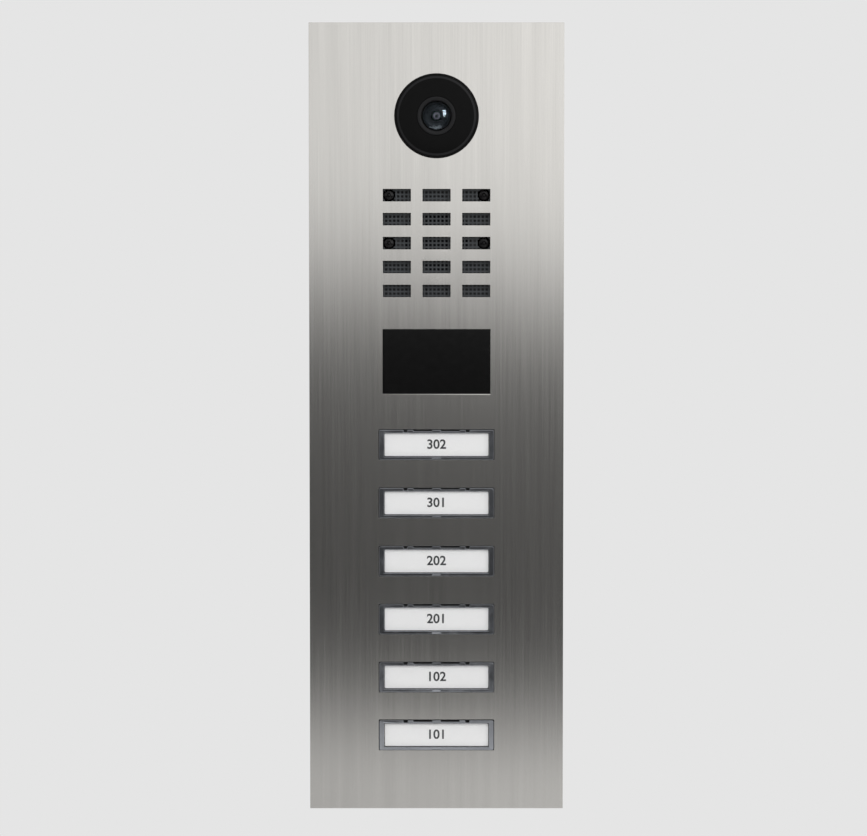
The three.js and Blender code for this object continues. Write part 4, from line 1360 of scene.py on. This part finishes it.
@dataclass
class Electronics(PieceMaker):
    """The two boards with their parts, the terminal block and the network socket."""

    fin_pitch: float = 2.2 * MM
    fin_width: float = 1.1 * MM
    pole_pitch: float = 4.6 * MM
    poles: int = 8

    def build(self) -> None:
        """Builds the boards and the connectors."""
        self.front_board()
        self.main_board()
        self.terminals()
        self.network_socket()

    def chips(self, name: str, places: Sequence[tuple[float, float, float, float]], face: float,
              height: float) -> bpy.types.Object:
        """Makes moulded chips on a board's face.

        Args:
            name: the new object's name.
            places: for each chip its middle's x and z, its width and its height on the board.
            face: the board face's y.
            height: how far the chips stand out, negative towards the front.

        Returns:
            The chips as one object.
        """
        cases = []
        near, far = sorted((face, face + height))
        for x, z, wide, high in places:
            cases.append(block("chip", (x - wide / 2, near, z - high / 2),
                               (x + wide / 2, far, z + high / 2)))
        chips = joined(cases, name)
        soften(chips, 0.15 * MM, 1)
        return chips

    def front_board(self) -> None:
        """Rounds the front board and sets a row of small chips between its switches."""
        self.refine("front_board", "front_circuit", 0.12 * MM, self.finishes.front_board,
                    "circuit_board")
        face = self.cad.box("front_board")[0].y
        places = []
        for number in range(1, BUTTON_COUNT + 1):
            z = self.cad.middle(f"switch_body_{number}").z
            places += [(side.value * 14 * MM, z, 5 * MM, 3.2 * MM) for side in Side]
        chips = self.chips("front_circuit_chips", places, face, -1.1 * MM)
        self.place(chips, self.finishes.housing, "circuit_board", "front_board")

    def main_board(self) -> None:
        """Makes the board, its finned cooler, its capacitors and its chips as separate pieces."""
        low, high = self.cad.box("main_board")
        thickness = 1.6 * MM
        front = high.y - thickness
        board = block("main_circuit", (low.x, front, low.z), high)
        round_corners(board, 2 * MM)
        soften(board, 0.12 * MM, 1)
        self.place(board, self.finishes.board, "circuit_board", "main_board")
        half, foot, top, base = 12 * MM, 8 * MM, 32 * MM, 1.2 * MM
        cooler = block("processor_cooler", (-half, front - 3.5 * MM, foot), (half, front, top))
        grooves = []
        groove, gap = -half + self.fin_width, self.fin_pitch - self.fin_width
        while groove + self.fin_width < half:
            grooves.append(block("groove", (groove, front - 5 * MM, foot - MM),
                                 (groove + gap, front - base, top + MM)))
            groove += self.fin_pitch
        cut(cooler, grooves)
        soften(cooler, 0.1 * MM, 1)
        self.place(cooler, self.finishes.plated, "circuit_board", "main_board")
        radius, lip, cap = 4 * MM, 0.35 * MM, front - 4.5 * MM
        cans = []
        for side in Side:
            can = lathed("can", [
                (0, cap + 0.15 * MM), (radius - 2 * lip, cap + 0.15 * MM),
                (radius - 2 * lip, cap), *arc((radius - lip, cap + lip), lip, -90, 0, 3),
                (radius, front - 0.8 * MM), (radius - lip, front - 0.5 * MM),
                (radius, front - 0.2 * MM), (radius, front), (0, front),
            ], (side.value * 18 * MM, 0, low.z + 20 * MM), Axis.Y, 40)
            cans.append(can)
        capacitors = joined(cans, "main_circuit_capacitors")
        self.place(capacitors, self.finishes.plated, "circuit_board", "main_board")
        places = [(-22 * MM, 44 * MM, 10 * MM, 10 * MM), (20 * MM, 46 * MM, 7 * MM, 12 * MM),
                  (0, -14 * MM, 14 * MM, 9 * MM), (-20 * MM, -22 * MM, 5 * MM, 4 * MM),
                  (21 * MM, -20 * MM, 5 * MM, 4 * MM)]
        chips = self.chips("main_circuit_chips", places, front, -1.3 * MM)
        self.place(chips, self.finishes.housing, "circuit_board", "main_board")

    def terminals(self) -> None:
        """Rounds the terminal block and sets a slotted screw beside every wire entry."""
        high = self.cad.box("terminal_block")[1]
        self.refine("terminal_block", "wiring_terminals", 0.3 * MM, self.finishes.terminal,
                    "terminal_plastic")
        middle = self.cad.middle("terminal_block")
        radius, slot, proud = 1.1 * MM, 0.35 * MM, 0.4 * MM
        top, heads = high.y + proud, []
        for pole in range(self.poles):
            x = middle.x + (pole - (self.poles - 1) / 2) * self.pole_pitch
            z = high.z - radius - 0.5 * MM
            head = turned("head", [(0, high.y - proud), (radius, high.y - proud),
                                   (radius, high.y + proud / 2), (radius - 0.2 * MM, top),
                                   (0, top)], (x, 0, z), Axis.Y, 24)
            cut(head, [block("slot", (x - slot / 2, high.y + proud / 3, z - 2 * radius),
                             (x + slot / 2, high.y + 2 * proud, z + 2 * radius))])
            soften(head, 0)
            heads.append(head)
        screws = joined(heads, "terminal_screws")
        self.place(screws, self.finishes.plated, "screw_steel", "terminal_block")

    def network_socket(self) -> None:
        """Rounds the socket's shell and lays eight contacts in its mouth."""
        self.refine("network_socket", "network_jack", 0.3 * MM, self.finishes.plated,
                    "magnet_steel")
        high = self.cad.box("network_socket")[1]
        middle = self.cad.middle("network_socket")
        pitch, width, rise = 1.02 * MM, 0.45 * MM, 2.4 * MM
        wires = []
        for contact in range(8):
            x = middle.x + (contact - 3.5) * pitch
            wires.append(block("contact", (x - width / 2, high.y - 8.9 * MM, middle.z + 1.1 * MM),
                               (x + width / 2, high.y - 2.5 * MM, middle.z + rise)))
        contacts = joined(wires, "network_contacts")
        soften(contacts, 0.08 * MM, 1)
        self.place(contacts, self.finishes.copper, "magnet_steel", "network_socket")


@dataclass
class RearHousing(PieceMaker):
    """The black moulded tray over the electronics, with its ribs, and the seal before it."""

    rib_width: float = 1.4 * MM
    rib_height: float = 0.6 * MM
    rib_margin: float = 9 * MM

    def build(self) -> None:
        """Builds the tray and the seal."""
        self.refine("rear_housing", "electronics_tray", 0.7 * MM, self.finishes.housing,
                    "housing_plastic", 3)
        self.refine("housing_seal", "tray_seal", 0.3 * MM, self.finishes.foam, "seal_foam", 3,
                    ring=True)
        self.ribs()

    def ribs(self) -> None:
        """Raises stiffening ribs on the tray's back, clear of the connector windows."""
        low, high = self.cad.box("rear_housing")
        terminal, socket = self.cad.middle("terminal_block"), self.cad.middle("network_socket")
        span = (low.x + self.rib_margin, high.x - self.rib_margin)
        levels = [low.z + 24 * MM, terminal.z - 22 * MM, terminal.z + 22 * MM,
                  socket.z + 26 * MM, socket.z + 52 * MM, high.z - 24 * MM]
        bars = [block("rib", (span[0], high.y - 0.1 * MM, z - self.rib_width / 2),
                      (span[1], high.y + self.rib_height, z + self.rib_width / 2))
                for z in levels]
        bars += [block("rib", (x - self.rib_width / 2, high.y - 0.1 * MM, low.z + self.rib_margin),
                       (x + self.rib_width / 2, high.y + self.rib_height, high.z - self.rib_margin))
                 for x in span]
        ribs = joined(bars, "tray_ribs")
        soften(ribs, 0.25 * MM, 2)
        self.place(ribs, self.finishes.housing, "housing_plastic", "rear_housing")


# ------------------------------------------------------------------------------ wall side


@dataclass
class WallBox(PieceMaker):
    """The folded steel box in the wall: flange, hinge ears, lip, knock-outs, seal and grommets."""

    body: ClassVar[str] = WALL_UNIT
    knock_out: float = 10 * MM
    knock_groove: float = 0.25 * MM
    side_knock_outs: tuple[float, ...] = (-90 * MM, 0.0, 90 * MM)
    back_knock_out: tuple[float, float] = (24 * MM, 60 * MM)
    flange_width: float = 3.8 * MM
    top_flange_width: float = 2.3 * MM
    weld_middles: tuple[float, ...] = (6 * MM, 21 * MM, 36 * MM)
    weld_inset: float = 0.3 * MM

    def build(self) -> None:
        """Builds the box, its seams, its rod, the seal and the grommets."""
        self.box()
        self.seams()
        self.rod()
        self.refine("wall_seal", "wall_gasket", 0.3 * MM, self.finishes.foam, "seal_foam", 3)
        self.grommets()

    def box(self) -> None:
        """Rounds the box's folds and presses rings for spare cable holes into it."""
        high = self.cad.box("back_box")[1]
        body = self.cad.refined("back_box", "steel_wall_box", 0.45 * MM, 3)
        middle = self.cad.middle("wall_seal")
        side = high.x - self.flange_width
        presses = []
        depth = self.knock_groove
        for z in self.side_knock_outs:
            for half in Side:
                face = half.value * side
                start = face - half.value * depth
                presses.append(self.ring("press", (start, high.y / 2, z), Axis.X, half.value))
        across, rise = self.back_knock_out
        for x in (-across, across):
            for z in (middle.z + rise, middle.z - rise):
                presses.append(self.ring("press", (x, high.y - depth, z), Axis.Y, 1))
        cut(body, presses)
        soften(body, 0)
        self.place(body, self.finishes.galvanised, "frame_steel", "back_box")

    def ring(self, name: str, start: Sequence[float], axis: Axis, way: int) -> bpy.types.Object:
        """Makes a thin ring cutter for a pressed knock-out.

        Args:
            name: the cutter's name.
            start: its centre on the floor of the groove.
            axis: the way it runs.
            way: 1 along the axis, -1 against it.

        Returns:
            The cutter.
        """
        length, line = MM, 0.7 * MM
        begin = Vector(start) + (Vector(axis.value) * (-length) if way < 0 else Vector())
        ring = rod(name, begin, axis, self.knock_out, length, 48)
        core = rod("core", begin - Vector(axis.value) * MM, axis, self.knock_out - line,
                   length + 2 * MM, 48)
        cut(ring, [core])
        return ring

    def seams(self) -> None:
        """Lays short weld beads where the box's corner folds meet."""
        low, high = self.cad.box("back_box")
        side, bottom = high.x - self.flange_width, low.z + self.flange_width
        top = high.z - self.top_flange_width
        bead, length = 0.45 * MM, 5 * MM
        beads = []
        for x in (-side, side):
            for z in (bottom, top):
                inward = Vector((-math.copysign(self.weld_inset, x), 0,
                                 -math.copysign(self.weld_inset, z)))
                for y in self.weld_middles:
                    at = Vector((x, y - length / 2, z)) + inward
                    bar = rod("bead", at, Axis.Y, bead, length, 12)
                    soften(bar, 0.3 * MM, 3)
                    beads.append(bar)
        welds = joined(beads, "corner_welds")
        self.place(welds, self.finishes.plated, "frame_steel", "back_box")

    def rod(self) -> None:
        """Turns the hinge rod with chamfered ends and lays it along X."""
        low, high = self.cad.box("hinge_rod")
        middle = self.cad.middle("hinge_rod")
        radius, half = (high.z - low.z) / 2, (high.x - low.x) / 2
        chamfer, groove = 0.4 * MM, 0.25 * MM
        profile = [(0, -half), (radius - chamfer, -half), (radius, -half + chamfer),
                   (radius, half - chamfer), (radius - chamfer, half), (0, half)]
        bar = turned("hanging_rod", profile, (0, 0, 0), Axis.Y, 48)
        bar.matrix_world = Matrix.Translation(middle) @ Matrix.Rotation(-math.pi / 2, 4, "Z")
        settle(bar)
        soften(bar, groove / 2, 2)
        self.place(bar, self.finishes.bright, "screw_steel", "hinge_rod")

    def grommets(self) -> None:
        """Turns a cable grommet with rounded flanges and copies it."""
        low, high = self.cad.box("cable_grommet_1")
        middle = self.cad.middle("cable_grommet_1")
        outer, bore = (high.x - low.x) / 2, 4.5 * MM
        groove, lip, inner = outer - 2.5 * MM, 0.6 * MM, outer - 0.8 * MM
        flange = 2.0 * MM
        profile = [
            (bore + lip, low.z), *arc((outer - lip, low.z + lip), lip, -90, 0, 4),
            (outer, low.z + flange), (groove, low.z + flange), (groove, high.z - flange),
            (inner, high.z - flange), *arc((inner - lip, high.z - lip), lip, 0, 90, 4),
            (bore + lip, high.z), (bore, high.z - lip), (bore, low.z + lip), (bore + lip, low.z),
        ]
        first = lathed("cable_entry_grommet_1", profile, (middle.x, middle.y, 0), Axis.Z, 72)
        shift = self.cad.middle("cable_grommet_2") - middle
        second = copy_shifted(first, "cable_entry_grommet_2", shift)
        for number, piece in enumerate((first, second), 1):
            self.place(piece, self.finishes.rubber, "grommet_rubber", f"cable_grommet_{number}")


# ------------------------------------------------------------------------------ studio


@dataclass
class Studio:
    """Pale floor and surroundings, soft light, a light wall to reflect, and the camera."""

    distance: float = 1.5
    camera_height: float = math.radians(3.4)
    camera_side: float = -1.33 * MM
    lens_mm: float = 140.1
    sensor_mm: float = 36.0
    surround: str = "#e5e5e5"
    floor_tone: str = "#dcdcdc"
    floor_level: float = -0.62
    floor_radius: float = 1.6
    wall_distance: float = 1.62
    wall_half_width: float = 2.2
    wall_span: tuple[float, float] = (-0.9, 1.7)
    wall_slant: float = math.radians(3.5)
    side_gain: float = 0.65
    wall_steps: tuple[tuple[float, float], ...] = (
        (-0.60, 0.50), (-0.475, 0.62), (-0.435, 0.84), (-0.405, 0.68), (-0.37, 0.27),
        (-0.335, 0.06), (-0.28, 0.06), (-0.19, 0.09), (-0.10, 0.11), (-0.05, 0.13),
        (-0.01, 0.25), (0.035, 0.66), (0.08, 0.93), (0.13, 1.02), (0.30, 1.05), (1.20, 1.0),
    )

    def build(self, front: float) -> None:
        """Makes everything round the object.

        Args:
            front: the y of the plate's face.
        """
        bpy.context.scene.view_settings.view_transform = "Standard"
        self.camera(front)
        self.world()
        self.floor()
        self.light_wall(front)
        self.lights()

    def camera(self, front: float) -> None:
        """Sets the camera a little above the panel's middle, aimed at it."""
        data = bpy.data.cameras.new("visitor_view")
        data.sensor_width = self.sensor_mm
        data.lens = self.lens_mm
        view = bpy.data.objects.new("visitor_view", data)
        bpy.context.scene.collection.objects.link(view)
        turn = self.camera_height
        view.location = (self.camera_side, front - self.distance * math.cos(turn),
                         self.distance * math.sin(turn))
        view.rotation_euler = (math.pi / 2 - turn, 0, 0)
        bpy.context.scene.camera = view

    def world(self) -> None:
        """Surrounds the scene with an even pale grey."""
        world = bpy.data.worlds.new("pale_surround")
        world.use_nodes = True
        world.node_tree.nodes["Background"].inputs["Color"].default_value = colour(self.surround)
        bpy.context.scene.world = world

    def floor(self) -> None:
        """Lays a round pale floor below the object."""
        bpy.ops.object.select_all(action="DESELECT")
        bpy.ops.mesh.primitive_circle_add(vertices=96, radius=self.floor_radius, fill_type="NGON",
                                          location=(0, 0, self.floor_level))
        floor = bpy.context.active_object
        floor.name = "studio_floor"
        floor.data.materials.append(
            MouldedPlastic("floor_paint", self.floor_tone, self.floor_tone, 0.9, 1.5, 0.2,
                           3.0, 0.05).material())

    def light_wall(self, front: float) -> None:
        """Stands a glowing wall behind the camera, bright above and dark at breast height."""
        low, high = self.wall_span
        bpy.ops.object.select_all(action="DESELECT")
        bpy.ops.mesh.primitive_plane_add(
            size=1, location=(0, front - self.wall_distance, (low + high) / 2),
            rotation=(-math.pi / 2, 0, 0),
        )
        wall = bpy.context.active_object
        wall.name = "light_wall"
        wall.scale = (2 * self.wall_half_width, high - low, 1)
        settle(wall)
        material, tree = new_material("wall_glow")
        place = add_node(tree, "TexCoord").outputs["Object"]
        mapped = add_node(tree, "Mapping", inputs={
            "Vector": place, "Rotation": (0, -self.wall_slant, 0),
        })
        parts = add_node(tree, "SeparateXYZ", inputs={0: mapped.outputs["Vector"]})
        level = add_node(tree, "MapRange", inputs={
            "Value": parts.outputs["Z"], "From Min": low, "From Max": high,
        })
        stops = [((z - low) / (high - low), (glow, glow, glow, 1)) for z, glow in self.wall_steps]
        glow = ramp(tree, level.outputs["Result"], stops)
        strength = add_node(tree, "MapRange", inputs={
            "Value": parts.outputs["X"], "From Min": -1.0, "From Max": 1.0,
            "To Min": 1 - self.side_gain, "To Max": 1 + self.side_gain,
        })
        shader = add_node(tree, "Emission", inputs={
            "Color": glow, "Strength": strength.outputs["Result"],
        })
        close_tree(tree, shader)
        wall.data.materials.append(material)
        wall.visible_camera = False

    def area_light(self, name: str, place: Point, aim: Point, size: tuple[float, float],
                   power: float) -> bpy.types.Object:
        """Hangs a soft rectangular light that the camera doesn't see.

        Args:
            name: the light's name.
            place: where it hangs.
            aim: what it points at.
            size: its width and height.
            power: its power in watts.

        Returns:
            The light.
        """
        data = bpy.data.lights.new(name, "AREA")
        data.shape = "RECTANGLE"
        data.size, data.size_y = size
        data.energy = power
        light = bpy.data.objects.new(name, data)
        bpy.context.scene.collection.objects.link(light)
        light.location = place
        light.rotation_euler = (Vector(aim) - Vector(place)).to_track_quat("-Z", "Y").to_euler()
        light.visible_camera = False
        return light

    def lights(self) -> None:
        """Hangs the large soft light above the front, which shows in no reflection."""
        softbox = self.area_light("overhead_softbox", (-0.25, -1.5, 0.85), (0, 0, 0),
                                  (1.1, 1.1), 17.5)
        softbox.visible_glossy = False

    def linked_light(self, name: str, piece: bpy.types.Object, place: Point,
                     size: tuple[float, float], power: float) -> None:
        """Hangs a light that only one piece takes up.

        Args:
            name: the light's name.
            piece: the piece, which the light points at.
            place: where it hangs.
            size: its width and height.
            power: its power in watts.
        """
        corners = [Vector(corner) for corner in piece.bound_box]
        middle = sum(corners, Vector()) / len(corners)
        light = self.area_light(name, place, middle, size, power)
        takers = bpy.data.collections.new(f"{name}_takers")
        takers.objects.link(piece)
        light.light_linking.receiver_collection = takers

    def lens_lights(self) -> None:
        """Gives the lens glass a window to mirror, and its bowl a strip of light from above."""
        self.linked_light("side_window", bpy.data.objects["camera_dome_glass"],
                          (0.86, -1.2, 0.44), (0.4, 0.75), 60.0)
        self.linked_light("ceiling_strip", bpy.data.objects["camera_inner_bowl"],
                          (0.1, -0.75, 1.38), (1.2, 0.4), 14.0)


# ------------------------------------------------------------------------------ the whole


def main() -> None:
    """Builds the intercom's looks round its CAD frame."""
    logging.basicConfig(level=logging.INFO, format="%(name)s: %(message)s")
    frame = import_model()
    cad = CadFrame(frame["nodes"])
    finishes = Finishes()
    studio = Studio()
    studio.build(cad.box("front_panel")[0].y)
    for part in (FrontPlate, CameraUnit, SoundField, Reader, CallButtons, Electronics,
                 RearHousing, WallBox):
        log.info("building the %s", part.__name__)
        part(cad, finishes).build()
    studio.lens_lights()


if __name__ == "__main__":
    main()
